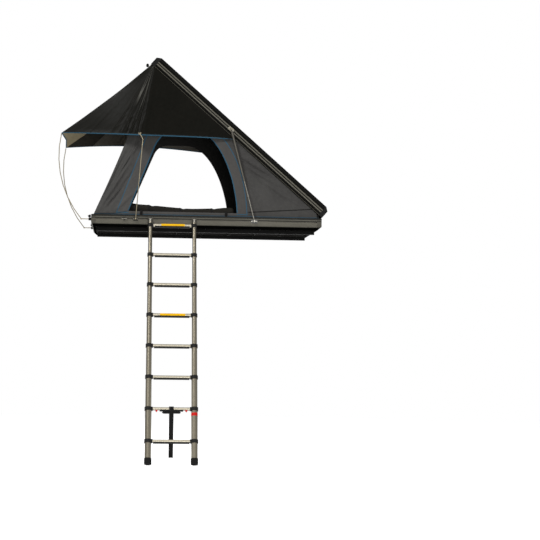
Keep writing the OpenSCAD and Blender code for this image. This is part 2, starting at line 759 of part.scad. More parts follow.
// A rung: a rounded tube between the collars' bosses.
module rung(s, k) {
    length = stile_gap - 2 * (tube_r(k) + collar_wall + 6);
    round = 8;
    translate([0, 0, -s]) rotate([90, 0, 90]) linear_extrude(length, center = true) difference() {
        rung_outline(rung_w, rung_h, round);
        rung_outline(rung_w - 3, rung_h - 3, round - 1.5);
    }
}
module rung_outline(w, h, r) {
    square([w - 2 * r, h], center = true);
    square([w, h - 2 * r], center = true);
    for (x = [-1, 1], y = [-1, 1]) translate([x * (w / 2 - r), y * (h / 2 - r)]) circle(r = r);
}

// Section k: two stile tubes and the rung at their top. The lowest one has a second rung.
module ladder_section(k) {
    top = k == 1 ? 30 : rung_s(k) - 6;
    bottom = k == last ? ladder_end - 4 : rung_s(k) + rung_pitch + overlap;
    color(silver) on_ladder() {
        both_stiles() translate([0, 0, -bottom]) difference() {
            cylinder(r = tube_r(k), h = bottom - top);
            translate([0, 0, -1]) cylinder(r = tube_r(k) - stile_wall, h = bottom - top + 2);
        }
        rung(rung_s(k), k);
        if (k == last) rung(rung_s(k) + rung_pitch, k);
    }
}

// A collar clamps the top of its own tube and guides the thinner tube that comes out of it.
module collar(k, s, guide) {
    r = tube_r(k);
    upper = 14;
    for (e = [-1, 1]) translate([e * stile_gap / 2, 0, -s]) difference() {
        union() {
            translate([0, 0, upper - collar_h]) cylinder(r = r + collar_wall, h = collar_h);
            translate([-e * (r + collar_wall + 6) / 2, 0, 0])
                cube([r + collar_wall + 6, boss_w, boss_h], center = true);
        }
        translate([0, 0, -collar_h]) cylinder(r = r + 0.05, h = guide ? collar_h + 6.05 : 2 * collar_h);
        if (guide) translate([0, 0, -1]) cylinder(r = tube_r(k - 1) + 0.3, h = collar_h);
    }
}
module ladder_collars(k) {
    color(black) on_ladder() {
        collar(k, rung_s(k), k > 1);
        if (k == last) collar(k, rung_s(k) + rung_pitch, false);
    }
}
module ladder_feet() {
    color(black) on_ladder() both_stiles() translate([0, 0, -ladder_end]) difference() {
        cylinder(r = tube_r(last) + 4, h = foot_h);
        translate([0, 0, 4]) cylinder(r = tube_r(last) + 0.05, h = foot_h);
    }
}

// Thumb slides under the lowest section's top rung, which unlock the tubes.
button_x = stile_gap / 2 - tube_r(last) - collar_wall - 6 - 32;
module release_button(s) {
    below = rung_h / 2 + fit;
    color("red") on_ladder() translate([s * button_x, 0, -rung_s(last) - below]) rotate([90, 0, 0])
        linear_extrude(20, center = true) polygon([[-11, 0], [11, 0], [4, -14], [-4, -14]]);
}

// Webbing looped round the same rung, with a tail that hangs plumb behind the next one.
module ladder_strap() {
    w = 36;
    t = 2.5;
    tail = 410;
    bar = 130;
    drop = rung_h / 2 + fit;
    color(black_cloth) on_ladder() translate([0, 0, -rung_s(last)]) {
        translate([-w / 2, 0, 0]) rotate([90, 0, 90]) linear_extrude(w) difference() {
            square([rung_w + 2 * (fit + t), rung_h + 2 * (fit + t)], center = true);
            square([rung_w + 2 * fit, rung_h + 2 * fit], center = true);
        }
        translate([-bar / 2, -10, -drop - t - 10]) cube([bar, 20, 10]);
        translate([0, 0, -drop - t - 8]) rotate([ladder_lean, 0, 0])
            translate([-w / 2, -t / 2, -tail]) cube([w, t, tail]);
    }
}

floor_panel();
base_rail_side(false);  // base_rail_right
base_rail_side(true);  // base_rail_left
base_rail_front();
base_rail_rear();
base_corners();
mount_channels();
rim_seal();
mattress();
hinge_leaf_base();
hinge_pins();
strut_brackets_base();
pole_sockets();
ladder_brackets();
latch_catches();
tent_body();
door_rolls();
lid_panel();
lid_rail_side(false);  // lid_rail_right
lid_rail_side(true);  // lid_rail_left
lid_rail_front();
lid_rail_rear();
lid_corners();
lid_liner();
hinge_leaf_lid();
strut_brackets_lid();
latch_bodies();
fly_right();
fly_rear();
fly_left();
latch_lever(-1);  // latch_lever_right
latch_lever(1);  // latch_lever_left
strut_barrel(false);  // strut_barrel_right
strut_barrel(true);  // strut_barrel_left
strut_rod(false);  // strut_rod_right
strut_rod(true);  // strut_rod_left
pole_rear(false);  // pole_rear_right
pole_rear(true);  // pole_rear_left
pole_side(false);  // pole_side_right
pole_side(true);  // pole_side_left
ladder_heads();
ladder_feet();
ladder_strap();
release_button(-1);  // release_button_rear
release_button(1);  // release_button_front
for (k = [1 : sections]) {
    ladder_section(k);
    ladder_collars(k);
}
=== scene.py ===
"""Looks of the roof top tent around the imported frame."""

import json
from functools import partial
from math import atan2, copysign, cos, exp, log, pi, radians, sin, tan

import bpy
from mathutils import Matrix, Quaternion, Vector, noise


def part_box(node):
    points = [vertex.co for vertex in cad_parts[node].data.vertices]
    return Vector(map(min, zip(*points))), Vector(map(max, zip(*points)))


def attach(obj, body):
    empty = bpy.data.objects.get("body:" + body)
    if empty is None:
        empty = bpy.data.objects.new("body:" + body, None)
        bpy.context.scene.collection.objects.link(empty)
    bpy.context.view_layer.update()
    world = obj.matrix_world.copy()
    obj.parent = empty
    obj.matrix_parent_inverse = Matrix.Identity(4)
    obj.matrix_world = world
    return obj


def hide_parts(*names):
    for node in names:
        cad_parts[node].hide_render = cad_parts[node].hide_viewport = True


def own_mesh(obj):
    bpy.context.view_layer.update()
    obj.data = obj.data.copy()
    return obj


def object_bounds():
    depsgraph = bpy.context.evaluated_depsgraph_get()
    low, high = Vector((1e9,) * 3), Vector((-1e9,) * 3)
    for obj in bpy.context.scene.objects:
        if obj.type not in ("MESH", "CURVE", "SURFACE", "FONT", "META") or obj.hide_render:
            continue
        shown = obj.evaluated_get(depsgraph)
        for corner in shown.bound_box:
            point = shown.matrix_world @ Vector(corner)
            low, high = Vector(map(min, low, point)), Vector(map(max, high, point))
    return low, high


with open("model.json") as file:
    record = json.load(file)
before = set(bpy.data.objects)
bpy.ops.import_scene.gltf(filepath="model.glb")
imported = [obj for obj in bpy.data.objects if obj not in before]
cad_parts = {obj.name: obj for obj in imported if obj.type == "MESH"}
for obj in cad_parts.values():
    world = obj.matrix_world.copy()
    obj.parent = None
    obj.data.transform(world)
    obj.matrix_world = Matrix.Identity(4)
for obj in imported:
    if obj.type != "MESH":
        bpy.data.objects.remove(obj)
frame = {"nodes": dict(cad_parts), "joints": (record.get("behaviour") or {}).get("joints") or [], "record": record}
cad_box = [list(corner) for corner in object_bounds()]
scene = bpy.context.scene
joints = {j["name"]: j for j in frame["joints"]}


def vec(*values):
    return Vector(values)


# Sizes of the frame, in metres
HINGE = Vector(joints["lid_hinge"]["pos_m"])
OPEN = radians(-joints["lid_hinge"]["range_deg"][0])
BASE_LOW, BASE_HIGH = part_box("base_corners")
HALF_L, HALF_W, RIM = BASE_HIGH
LID_Z = 2 * HINGE.z - RIM
RAIL_DIR = vec(cos(OPEN), 0, -sin(OPEN))
LID_UP = vec(sin(OPEN), 0, cos(OPEN))
FLY_BEND = Vector(joints["fly_right_fold"]["pos_m"])
FLY_BACK = Vector(joints["fly_rear_fold"]["pos_m"])
LADDER = Vector(joints["ladder_swing"]["pos_m"])
LADDER_UP = Vector(joints["ladder_slide_2"]["axis"])
LADDER_OUT = vec(0, -LADDER_UP.z, LADDER_UP.y)
LADDER_LEAN = atan2(LADDER_UP.y, LADDER_UP.z)
RUNG_PITCH = 0.295
FIRST_RUNG = 0.062
RUNG_HALF = 0.185
SILL = 0.156
SOCKET_Z = 0.097
CLIP_X = -0.765
SIDES = (("right", -1), ("left", 1))


def on_lid(x, y, v):
    """A point of the open lid, from its place on the closed one, v over the lid's lower edge."""
    dx, dz = x - HINGE.x, LID_Z + v - HINGE.z
    return vec(HINGE.x, y, HINGE.z) + RAIL_DIR * dx + LID_UP * dz


def rgb(*levels):
    """A colour as a picture stores it, made linear."""
    shares = [level / 255 for level in levels]
    return tuple(c / 12.92 if c <= 10 / 255 else ((c + 0.055) / 1.055) ** 2.4 for c in shares) + (1.0,)


def shaded(colour, factor, lift=0.0):
    """A colour made darker or lighter."""
    return tuple(min(1, c * factor + lift) for c in colour[:3]) + (1.0,)


def mixed(a, b, t):
    return a + (b - a) * t


def steps(a, b, count):
    """Values from a to b, both included."""
    return [mixed(a, b, k / count) for k in range(count + 1)]


# Camera
camera_data = bpy.data.cameras.new("photo_camera")
camera_data.lens = 106.7
camera_data.sensor_width = 36.0
camera_data.clip_end = 200.0
camera = bpy.data.objects.new("photo_camera", camera_data)
scene.collection.objects.link(camera)
yaw, pitch, roll = radians(5.14), radians(2.86), radians(0.74)
ahead = vec(sin(yaw) * cos(pitch), cos(yaw) * cos(pitch), sin(pitch))
camera.rotation_mode = "QUATERNION"
camera.rotation_quaternion = ahead.to_track_quat("-Z", "Y") @ Quaternion((0, 0, 1), roll)
camera.location = (-0.74, -15.45, -1.095)
scene.camera = camera


# Node helpers
def put(socket, value):
    """Links a socket, or sets a number or colour."""
    if isinstance(value, bpy.types.NodeSocket):
        socket.id_data.links.new(value, socket)
    else:
        socket.default_value = value


def fill(sockets, **values):
    """Sets sockets by name, written with _ for a space."""
    for name, value in values.items():
        put(sockets[name.replace("_", " ")], value)


def new_node(kind, *values):
    """A node in the tree of the first socket among some values."""
    tree = next(v.id_data for v in values if isinstance(v, bpy.types.NodeSocket))
    return tree.nodes.new("ShaderNode" + kind)


def add(kind, out=0, **values):
    """A node with its inputs set by name, and the output that is wanted."""
    node = new_node(kind, *values.values())
    fill(node.inputs, **values)
    return node.outputs[out]


def maths(operation, a, b=0.0):
    node = new_node("Math", a, b)
    node.operation = operation
    put(node.inputs[0], a)
    put(node.inputs[1], b)
    return node.outputs[0]


times, plus, minus, greater = (partial(maths, name) for name in ("MULTIPLY", "ADD", "SUBTRACT", "MAXIMUM"))


def mix(factor, a, b):
    node = new_node("Mix", factor, a, b)
    node.data_type = "RGBA"
    put(node.inputs[0], factor)
    put(node.inputs[6], a)
    put(node.inputs[7], b)
    return node.outputs[2]


def ramp(value, low, high, to_low=0.0, to_high=1.0):
    return add("MapRange", Value=value, From_Min=low, From_Max=high, To_Min=to_low, To_Max=to_high)


def mapped(vector, scale=(1, 1, 1), rotation=(0, 0, 0), location=(0, 0, 0)):
    return add("Mapping", Vector=vector, Scale=scale, Rotation=rotation, Location=location)


def axis_value(vector, axis):
    return add("SeparateXYZ", out="XYZ".index(axis), Vector=vector)


def cloud(vector, scale, detail, roughness=0.5):
    return add("TexNoise", Vector=vector, Scale=scale, Detail=detail, Roughness=roughness)


def bump(height, distance, strength):
    return add("Bump", Height=height, Distance=distance, Strength=strength)


def attribute(beside, name):
    """A value that the points of a mesh carry, in the tree of another socket."""
    node = new_node("Attribute", beside)
    node.attribute_name = name
    return node.outputs["Fac"]


def shared(inputs, outputs):
    """Makes a function a shared effect. Its sockets are numbers, except those called Vector and Object."""
    def effect(build):
        tree = bpy.data.node_groups.new(build.__name__, "ShaderNodeTree")
        for way, labels in (("INPUT", inputs), ("OUTPUT", outputs)):
            for label in labels.split():
                kind = "Vector" if label in ("Vector", "Object") else "Float"
                tree.interface.new_socket(label, in_out=way, socket_type="NodeSocket" + kind)
        source, sink = tree.nodes.new("NodeGroupInput"), tree.nodes.new("NodeGroupOutput")
        made = build(*(source.outputs[label] for label in inputs.split()))
        for socket, value in zip(sink.inputs, made):
            put(socket, value)
        return partial(use, tree)
    return effect


def use(group, **values):
    """The outputs of a shared effect, with its inputs set by name."""
    node = new_node("Group", *values.values())
    node.node_tree = group
    fill(node.inputs, **values)
    return list(node.outputs)


# Shared effects, which give their outputs for inputs set by name
@shared("Vector Pitch", "Height Slub")
def weave(vector, pitch):
    """Plain weave: threads that pass over and under each other."""
    turn = maths("DIVIDE", 2 * pi, pitch)
    u, v = (maths("SINE", times(axis_value(vector, axis), turn)) for axis in "XY")
    side = plus(times(maths("SIGN", times(u, v)), 0.5), 0.5)
    height = add("Mix", Factor=side, A=maths("ABSOLUTE", u), B=maths("ABSOLUTE", v))
    slub = cloud(mapped(vector, (400, 60, 60)), 1.0, 2.0)
    return height, slub


@shared("Vector Scale", "Factor Fine")
def mottle(vector, scale):
    """Broad and fine unevenness of a colour, about 0.5."""
    broad = cloud(vector, scale, 4.0, 0.6)
    fine = cloud(vector, times(scale, 14.0), 3.0)
    both = plus(times(broad, 0.7), times(fine, 0.3))
    return ramp(both, 0.3, 0.7), fine


@shared("Value Centre Half Soft", "Mask")
def line(value, centre, half, soft):
    """A soft-edged line where a value passes a centre."""
    off = maths("ABSOLUTE", minus(value, centre))
    edge = maths("DIVIDE", minus(half, off), soft)
    return [ramp(edge, -0.5, 0.5)]


def stripe(value, centre, half, soft):
    return line(Value=value, Centre=centre, Half=half, Soft=soft)[0]


@shared("Vector", "Height Dull")
def coat(vector):
    """Powder coat: a fine orange peel with a few dull specks."""
    peel = cloud(vector, 900.0, 2.0)
    specks = add("TexVoronoi", Vector=vector, Scale=350.0)
    dull = cloud(vector, 6.0, 5.0, 0.65)
    height = plus(peel, times(specks, 0.4))
    return height, ramp(dull, 0.3, 0.75)


@shared("Vector Object", "Streak Rub")
def brushed(vector, place):
    """Drawn metal: streaks along one direction, with scattered rubs."""
    streak = cloud(vector, 1.0, 4.0, 0.7)
    rub = cloud(place, 22.0, 6.0, 0.7)
    return streak, ramp(rub, 0.45, 0.8)


# Materials
def start(name, roughness=0.5, metallic=0.0):
    """A new material, with its shader's inputs and its Object coordinates."""
    made = bpy.data.materials.new(name)
    made.use_nodes = True
    tree = made.node_tree
    shader = next(n for n in tree.nodes if n.type == "BSDF_PRINCIPLED")
    fill(shader.inputs, Roughness=roughness, Metallic=metallic)
    return made, shader.inputs, tree.nodes.new("ShaderNodeTexCoord").outputs["Object"]


def coated(name, colour, roughness=0.45, metallic=0.0, lift=1.5, shine=0.07, patchy=1.0):
    """Coated metal or moulded plastic. patchy says how much its gloss varies."""
    made, ins, place = start(name, roughness, metallic)
    height, dull = coat(Vector=place)
    rough = ramp(dull, 0.0, 1.0, roughness - 0.07 * patchy, roughness + 0.12 * patchy)
    fill(ins, Base_Color=mix(dull, colour, shaded(colour, lift, 0.002)), Roughness=rough,
         Specular_IOR_Level=shine, Normal=bump(height, 0.00015, 0.5))
    return made


def metal(name, colour, stretch, roughness=0.32, metallic=1.0, lean=0.0, rubs=0.6,
          middle=None, turning=0.36):
    """Bare metal drawn along the axis with the smallest stretch, which may lean about X.

    middle makes the rungs lighter than the stiles. turning says how soon faces that turn away from view take
    painted shade.
    """
    made, ins, place = start(name, roughness, metallic)
    long = mapped(mapped(place, rotation=(lean, 0, 0)), stretch)
    streak, rub = brushed(Vector=long, Object=place)
    dark = shaded(colour, 0.78)
    drawn = mix(times(rub, rubs), mix(streak, dark, colour), dark)
    if middle:
        across = maths("ABSOLUTE", minus(axis_value(place, "X"), LADDER.x))
        drawn = mix(ramp(across, RUNG_HALF - 0.001, RUNG_HALF + 0.001, 0.8, 0.0), drawn, middle)
    edge_shade = new_node("LayerWeight", place)
    fill(edge_shade.inputs, Blend=turning)
    rough = ramp(streak, 0.3, 0.7, roughness - 0.06, roughness + 0.1)
    # Painted shade: faces that turn away from view go dark.
    fill(ins, Base_Color=mix(edge_shade.outputs["Facing"], drawn, shaded(colour, 0.25)),
         Roughness=plus(rough, times(rub, 0.12)), Normal=bump(streak, 0.0002, 0.25))
    return made


# Lines along the rails: height over the rail's lower edge, half width and softness
LID_LIPS = ((0.0335, 0.0055, 0.002), (0.0555, 0.0055, 0.002))
LID_GROOVE = (0.0445, 0.005, 0.001)
LID_EDGE = (0.003, 0.002, 0.001)
BASE_LIPS = ((0.0885, 0.0045, 0.001), (0.029, 0.0035, 0.001))
# Painted shade line, where a slot's shade falls
BASE_SHADE_LINE = (0.0795, 0.0046, 0.0015)
BASE_SLOT = (0.071, 0.005, 0.001)
RIB_PITCH = 0.0071


def rail_finish(name, lid, shade=0.0):
    """Extruded rail: on the base a face with ribs, painted shade and painted light, over a black bevel darkened as
    painted shade. On the lid it is black with two bright slot lips.
    """
    made, ins, place = start(name)
    if lid:
        shut = Matrix.Rotation(-OPEN, 3, "Y")
        place = mapped(place, rotation=(0, -OPEN, 0), location=tuple(HINGE - shut @ HINGE))
    v = minus(axis_value(place, "Z"), LID_Z if lid else BASE_LOW[2])
    height, dull = coat(Vector=place)
    streak = brushed(Vector=mapped(place, (3, 3, 600)), Object=place)[0]
    lips = greater(*(stripe(v, *at) for at in (LID_LIPS if lid else BASE_LIPS)))
    if lid:
        black = mix(dull, rgb(8, 8, 7), rgb(18, 17, 15))
        bright = mix(streak, rgb(78, 76, 68), rgb(102, 99, 89))
        lower = times(stripe(v, *LID_EDGE), 0.6)
        colour = mix(greater(lips, lower), black, bright)
        colour = mix(stripe(v, *LID_GROOVE), colour, rgb(40, 39, 37))
        shine = lips
    else:
        # The bevel is black, drawn darker still as painted shade under the base.
        black = mix(dull, rgb(3, 3, 3), rgb(9, 9, 8))
        # Ribs drawn in colour: the face goes dark in the grooves between ribs, as painted shade.
        ribs = maths("POWER", maths("ABSOLUTE", maths("SINE", times(v, pi / RIB_PITCH))), 0.45)
        beige = mix(ribs, rgb(46, 44, 39), rgb(100, 97, 87))
        drawn = mix(streak, rgb(72, 70, 62), rgb(98, 95, 85))
        beige = mix(times(dull, 0.35), beige, drawn)
        beige = mix(times(lips, 0.7), beige, rgb(85, 83, 74))
        # Painted shadow: dark over the top of the face under the tent's wall, and a dark line as painted shade of
        # a slot.
        step = greater(ramp(v, 0.093, 0.095), stripe(v, *BASE_SHADE_LINE))
        beige = mix(step, beige, rgb(34, 33, 29))
        shine = ramp(v, 0.0235, 0.026)
        # Painted light: the slot is drawn lighter to cancel the shade in it.
        colour = mix(shine, black, mix(stripe(v, *BASE_SLOT), beige, rgb(100, 97, 87)))
    fill(ins, Base_Color=mix(shade, colour, black), Metallic=times(shine, 0.15),
         Specular_IOR_Level=ramp(shine, 0.0, 1.0, 0.02 if lid else 0.0, 0.1),
         Roughness=ramp(dull, 0.0, 1.0, 0.36, 0.52), Normal=bump(height, 0.00012, 0.4))
    return made


def cloth(name, dark, light, pitch, roughness=0.85, sheen=0.1, marks=None, uneven=2.2,
          shine=0.05, relief=0.0012):
    """Woven cloth on its own UV map, which is in metres. marks adds colour over the weave."""
    made, ins, place = start(name, roughness)
    unrolled = new_node("UVMap", place)
    unrolled.uv_map = "cloth"
    flat = unrolled.outputs[0]
    height, slub = weave(Vector=flat, Pitch=pitch)
    factor, fine = mottle(Vector=flat, Scale=uneven)
    colour = mix(factor, dark, light)
    # Painted shade where the threads dip under each other.
    colour = mix(times(minus(1.0, height), 0.3), colour, shaded(dark, 0.55))
    colour = mix(times(slub, 0.12), colour, light)
    if marks:
        colour = marks(flat, colour)
    raised = plus(times(height, 0.25), factor)
    fill(ins, Base_Color=colour, Sheen_Weight=sheen, Specular_IOR_Level=shine,
         Roughness=ramp(fine, 0.3, 0.7, roughness - 0.06, roughness + 0.06),
         Normal=bump(raised, relief, 0.35))
    return made


BLUE = rgb(48, 84, 104)


def wall_marks(flat, colour):
    """Lighter door border between two blue zips, sill seam and blue piping at the rim."""
    share = attribute(flat, "border")
    up = axis_value(flat, "Y")
    band = stripe(share, 0.5, 0.5, 0.02)
    raised = ramp(up, SILL - 0.004, SILL + 0.001)
    colour = mix(times(times(band, raised), 0.3), colour, rgb(86, 84, 82))
    along = axis_value(flat, "X")
    over_sill = ramp(up, SILL + 0.017, SILL + 0.02)
    inner = times(stripe(share, 0.05, 0.05, 0.01), over_sill)
    outer = times(stripe(share, 0.97, 0.036, 0.01), raised)
    teeth = add("TexChecker", out=1, Vector=flat, Scale=420.0)
    blue = mix(teeth, rgb(45, 79, 98), rgb(51, 87, 108))
    beside = greater(ramp(along, -0.723, -0.733), ramp(along, 0.27, 0.28))
    foot = times(times(stripe(up, SILL + 0.004, 0.004, 0.001), band), beside)
    colour = mix(greater(greater(inner, outer), foot), colour, blue)
    rising = minus(up, ramp(along, 0.28, 0.98, RIM + 0.039, RIM + 0.0865))
    seam = times(stripe(rising, 0.0, 0.0048, 0.002), ramp(along, 0.37, 0.39))
    colour = mix(times(seam, 0.9), colour, rgb(22, 22, 20))
    piping = stripe(up, RIM + 0.004, 0.006, 0.002)
    return mix(times(piping, 0.7), colour, BLUE)


def hem_marks(flat, colour):
    """Blue hem tape with stitches along the free edge."""
    edge = axis_value(flat, "Y")
    stitch = add("TexChecker", out=1, Vector=flat, Scale=160.0)
    rows = stripe(edge, 0.017, 0.001, 0.0008)
    colour = mix(times(rows, stitch), colour, rgb(70, 70, 68))
    return mix(stripe(edge, 0.004, 0.007, 0.002), colour, BLUE)


def fly_marks(flat, colour):
    """Painted highlight along the backs of the creases near the fly's corner, over the hem marks."""
    painted_highlight = ramp(attribute(flat, "crest"), 0.2, 0.8, 0.0, 0.9)
    return hem_marks(flat, mix(painted_highlight, colour, rgb(84, 83, 78)))


def rear_marks(flat, colour):
    """The rear panel is tan underneath; the gores beside it are painted darker, as painted shade."""
    gore_shade = ramp(attribute(flat, "border"), 0.45, 0.55, 1.0, 0.0)
    return hem_marks(flat, mix(gore_shade, colour, rgb(57, 55, 50)))


canvas = cloth("canvas", rgb(61, 60, 59), rgb(80, 79, 77), 0.0016, marks=wall_marks)
canvas_inside = cloth("canvas_inside", rgb(46, 45, 43), rgb(60, 59, 57), 0.0016, sheen=0.0)
fly_outside = cloth("fly_outside", rgb(14, 14, 11), rgb(22, 21, 17), 0.0011, 0.38, 0.0, fly_marks,
                    shine=0.036, relief=0.0002)
# The fly's undersides are drawn lighter than their cloth: partly their own colour, partly painted light, as they
# hang in shade.
fly_inside = cloth("fly_inside", rgb(94, 91, 84), rgb(114, 110, 101), 0.0011, 0.7, 0.0, hem_marks)
fly_tan = cloth("fly_tan", rgb(162, 151, 122), rgb(182, 170, 138), 0.0011, 0.8, 0.0, rear_marks, shine=0.03)
roll_cloth = cloth("roll_cloth", rgb(29, 28, 25), rgb(41, 39, 35), 0.0016, sheen=0.0)
foam_cover = cloth("foam_cover", rgb(92, 92, 90), rgb(112, 111, 108), 0.002, uneven=5.0)
liner_cloth = cloth("liner_cloth", rgb(120, 119, 115), rgb(138, 136, 131), 0.002, uneven=5.0)
webbing = cloth("webbing", rgb(18, 18, 18), rgb(34, 33, 32), 0.0024, uneven=9.0)
looks = {
    "base_rail": rail_finish("base_rail", False),
    "case_black": rail_finish("case_black", True),
    "base_corner": rail_finish("base_corner", False, 0.38),
    "sheet": coated("sheet", rgb(34, 33, 31), lift=1.15, patchy=0.35),
    "corner": coated("corner", rgb(20, 20, 19), 0.55),
    # Mount channels drawn near black, as painted shade under the base.
    "channel": coated("channel", rgb(18, 18, 17), 0.5, 0.3, shine=0.03),
    "rubber": coated("rubber", rgb(20, 20, 20), 0.8),
    "steel": metal("steel", rgb(132, 129, 121), (220, 220, 4), 0.34),
    "black_steel": coated("black_steel", rgb(18, 18, 18), 0.3, shine=0.3),
    "ladder": metal("ladder", rgb(118, 112, 98), (200, 200, 1.5), 0.32, 0.9, LADDER_LEAN, 0.2,
                    rgb(176, 169, 151)),
    "ladder_plastic": coated("ladder_plastic", rgb(26, 26, 25), 0.5),
    "ladder_bracket": coated("ladder_bracket", rgb(62, 60, 54), 0.36, 0.4, lift=1.3),
    "red": coated("red", rgb(186, 30, 26), 0.35, lift=1.2),
}
pole_metal = metal("pole_metal", rgb(150, 140, 116), (220, 220, 4), 0.4, 0.6)
yellow = coated("yellow", rgb(226, 174, 20), 0.45, lift=1.1)
# The strut barrel is drawn light, partly its own colour and partly painted highlight, and dark at its edges as
# painted shade.
strut_tube = metal("strut_tube", rgb(88, 84, 74), (220, 220, 4), 0.42, 0.2, turning=0.94)
strut_plate = coated("strut_plate", rgb(122, 118, 104), 0.4, 0.3, lift=1.15)
own_look = {"strut_brackets_lid": strut_plate, "base_corners": looks["base_corner"],
            "ladder_brackets": looks["ladder_bracket"]}
for side, _ in SIDES:
    own_look[f"strut_barrel_{side}"] = strut_tube
    own_look[f"latch_lever_{side}"] = looks["steel"]
    own_look[f"pole_rear_{side}"] = pole_metal


def dress(obj, made):
    obj.data.materials.clear()
    obj.data.materials.append(made)


for sub in frame["record"]["subparts"]:
    if sub["material_slot"] in looks:
        dress(frame["nodes"][sub["node"]], own_look.get(sub["node"], looks[sub["material_slot"]]))


# Steps of work by hand
def clear():
    bpy.ops.object.select_all(action="DESELECT")


def mode(name):
    bpy.ops.object.mode_set(mode=name)


def edit_all():
    mode("EDIT")
    bpy.ops.mesh.select_all(action="SELECT")


def modified(kind, **settings):
    """Gives the active object a modifier and applies it."""
    step = bpy.context.active_object.modifiers.new("step", kind)
    for name, value in settings.items():
        setattr(step, name, value)
    bpy.ops.object.modifier_apply(modifier="step")


def turn_outward():
    """Turns the faces of the active object outward."""
    edit_all()
    bpy.ops.mesh.normals_make_consistent(inside=False)
    mode("OBJECT")


# Soft pieces, from cloth and webbing of these thicknesses
CLOTH, TAB, TIE, STRAP = 0.0012, 0.0016, 0.0015, 0.0018
TAB_STEPS = 12


def soft_object(name, points, faces, materials, uv):
    """A smooth object, selected alone, with its own UV map in metres."""
    mesh = bpy.data.meshes.new(name)
    mesh.from_pydata(points, [], faces)
    layer = mesh.uv_layers.new(name="cloth")
    for loop in mesh.loops:
        layer.data[loop.index].uv = uv(loop.vertex_index)
    for made in materials:
        mesh.materials.append(made)
    mesh.shade_smooth()
    obj = bpy.data.objects.new(name, mesh)
    scene.collection.objects.link(obj)
    clear()
    obj.select_set(True)
    bpy.context.view_layer.objects.active = obj
    return obj


def sheet_object(name, grid, materials, thickness, uv, **shares):
    """A sheet of cloth from a grid of points. shares are values that its points carry."""
    columns, rows = len(grid), len(grid[0])
    faces = [(i * rows + j, (i + 1) * rows + j, (i + 1) * rows + j + 1, i * rows + j + 1)
             for i in range(columns - 1) for j in range(rows - 1)]
    points = [p for column in grid for p in column]
    obj = soft_object(name, points, faces, materials, lambda k: uv(*divmod(k, rows)))
    for label, share in shares.items():
        values = obj.data.attributes.new(label, "FLOAT", "POINT")
        for k in range(columns * rows):
            values.data[k].value = share(*divmod(k, rows))
    modified("SOLIDIFY", thickness=thickness, offset=-1.0, material_offset=len(materials) - 1)
    return obj


def ring_object(name, rings, made):
    """A closed soft form from rings of points."""
    count = len(rings[0])
    points = [p for ring in rings for p in ring]
    faces = []
    for i in range(len(rings) - 1):
        here, there = i * count, (i + 1) * count
        for k in range(count):
            after = (k + 1) % count
            faces.append((here + k, here + after, there + after, there + k))
    faces.append(tuple(reversed(range(count))))
    faces.append(tuple(range((len(rings) - 1) * count, len(rings) * count)))
    obj = soft_object(name, points, faces, [made], lambda k: (points[k].x, points[k].y + points[k].z))
    turn_outward()
    return obj


def strip(name, middles, wide, count, thickness, uv):
    """A strip of webbing along some points, as wide along X as is said."""
    grid = [[p + vec(wide * (j / count - 0.5), 0, 0) for j in range(count + 1)] for p in middles]
    return sheet_object(name, grid, [webbing], thickness, uv)


def belongs(piece, body, node=None):
    """The body that a piece rides on, and the node of the frame that it replaces."""
    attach(piece, body)
    if node:
        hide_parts(node)


def stands(piece):
    """Cloth on the base, with a mesh of its own."""
    belongs(piece, "base")
    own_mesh(piece)


def run_along(points):
    """How far each point lies from the first, along their line."""
    run = [0.0]
    for a, b in zip(points, points[1:]):
        run.append(run[-1] + (b - a).length)
    return run


def folds(p, scale, detail=3):
    """Uneven slack of cloth at a point, about -1 to 1."""
    return sum(noise.noise(Vector(p) * scale * 2 ** k) / 2 ** k for k in range(detail))


def crease(p, a, b, width):
    """How much a crease from a to b raises the cloth at a point, 1 on its line."""
    a, along = Vector(a), Vector(b) - Vector(a)
    t = max(0.0, min(1.0, (p - a).dot(along) / along.length_squared))
    d = (p - a - along * t).length
    return exp(-(d / width) ** 2) * sin(pi * min(1, max(0, t * 0.9 + 0.08)))


# Rain fly: the upper edge follows the lid's rim, and the hem goes from pole tip to pole tip.
side_low, side_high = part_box("pole_side_right")
rear_low, rear_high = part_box("pole_rear_right")
HEM_SIDE = vec(side_high[0] - 0.004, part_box("fly_right")[0][1] + 0.001, side_high[2] + 0.004)
HEM_CORNER = vec(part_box("fly_rear")[0][0] + 0.001, rear_low[1], rear_high[2] + 0.004)
FLY_FRONT = on_lid(HINGE.x - 1.115, FLY_BEND.y, -0.0003)
HEM_START = FLY_FRONT + vec(0.007, -0.004, -0.0105)
FLY_SPLIT = 1.64
CORNER_R = 0.04
RIGHT_LIFT, LEFT_LIFT = -0.029, 0.06
HEM_IN, HEM_RISE = 0.022, 0.006
HEM_BOW = vec(0, HEM_IN, HEM_RISE)


def flipped(p):
    return vec(p.x, -p.y, p.z)


def fly_top(s):
    """The upper edge: 0 and 6 are its front ends, 1 and 5 the lid's bends, 2 to 4 its rear edge."""
    if s > 3:
        return flipped(fly_top(6 - s))
    if s <= 1:
        return mixed(FLY_FRONT, FLY_BEND, s)
    if s <= 2:
        turn = pi / 2 * (s - 1)
        p = mixed(FLY_BEND, FLY_BACK, sin(turn))
        p.y = FLY_BEND.y + CORNER_R * (1 - cos(turn))
        return p
    return vec(FLY_BACK.x, mixed(FLY_BEND.y + CORNER_R, 0, s - 2), FLY_BACK.z)


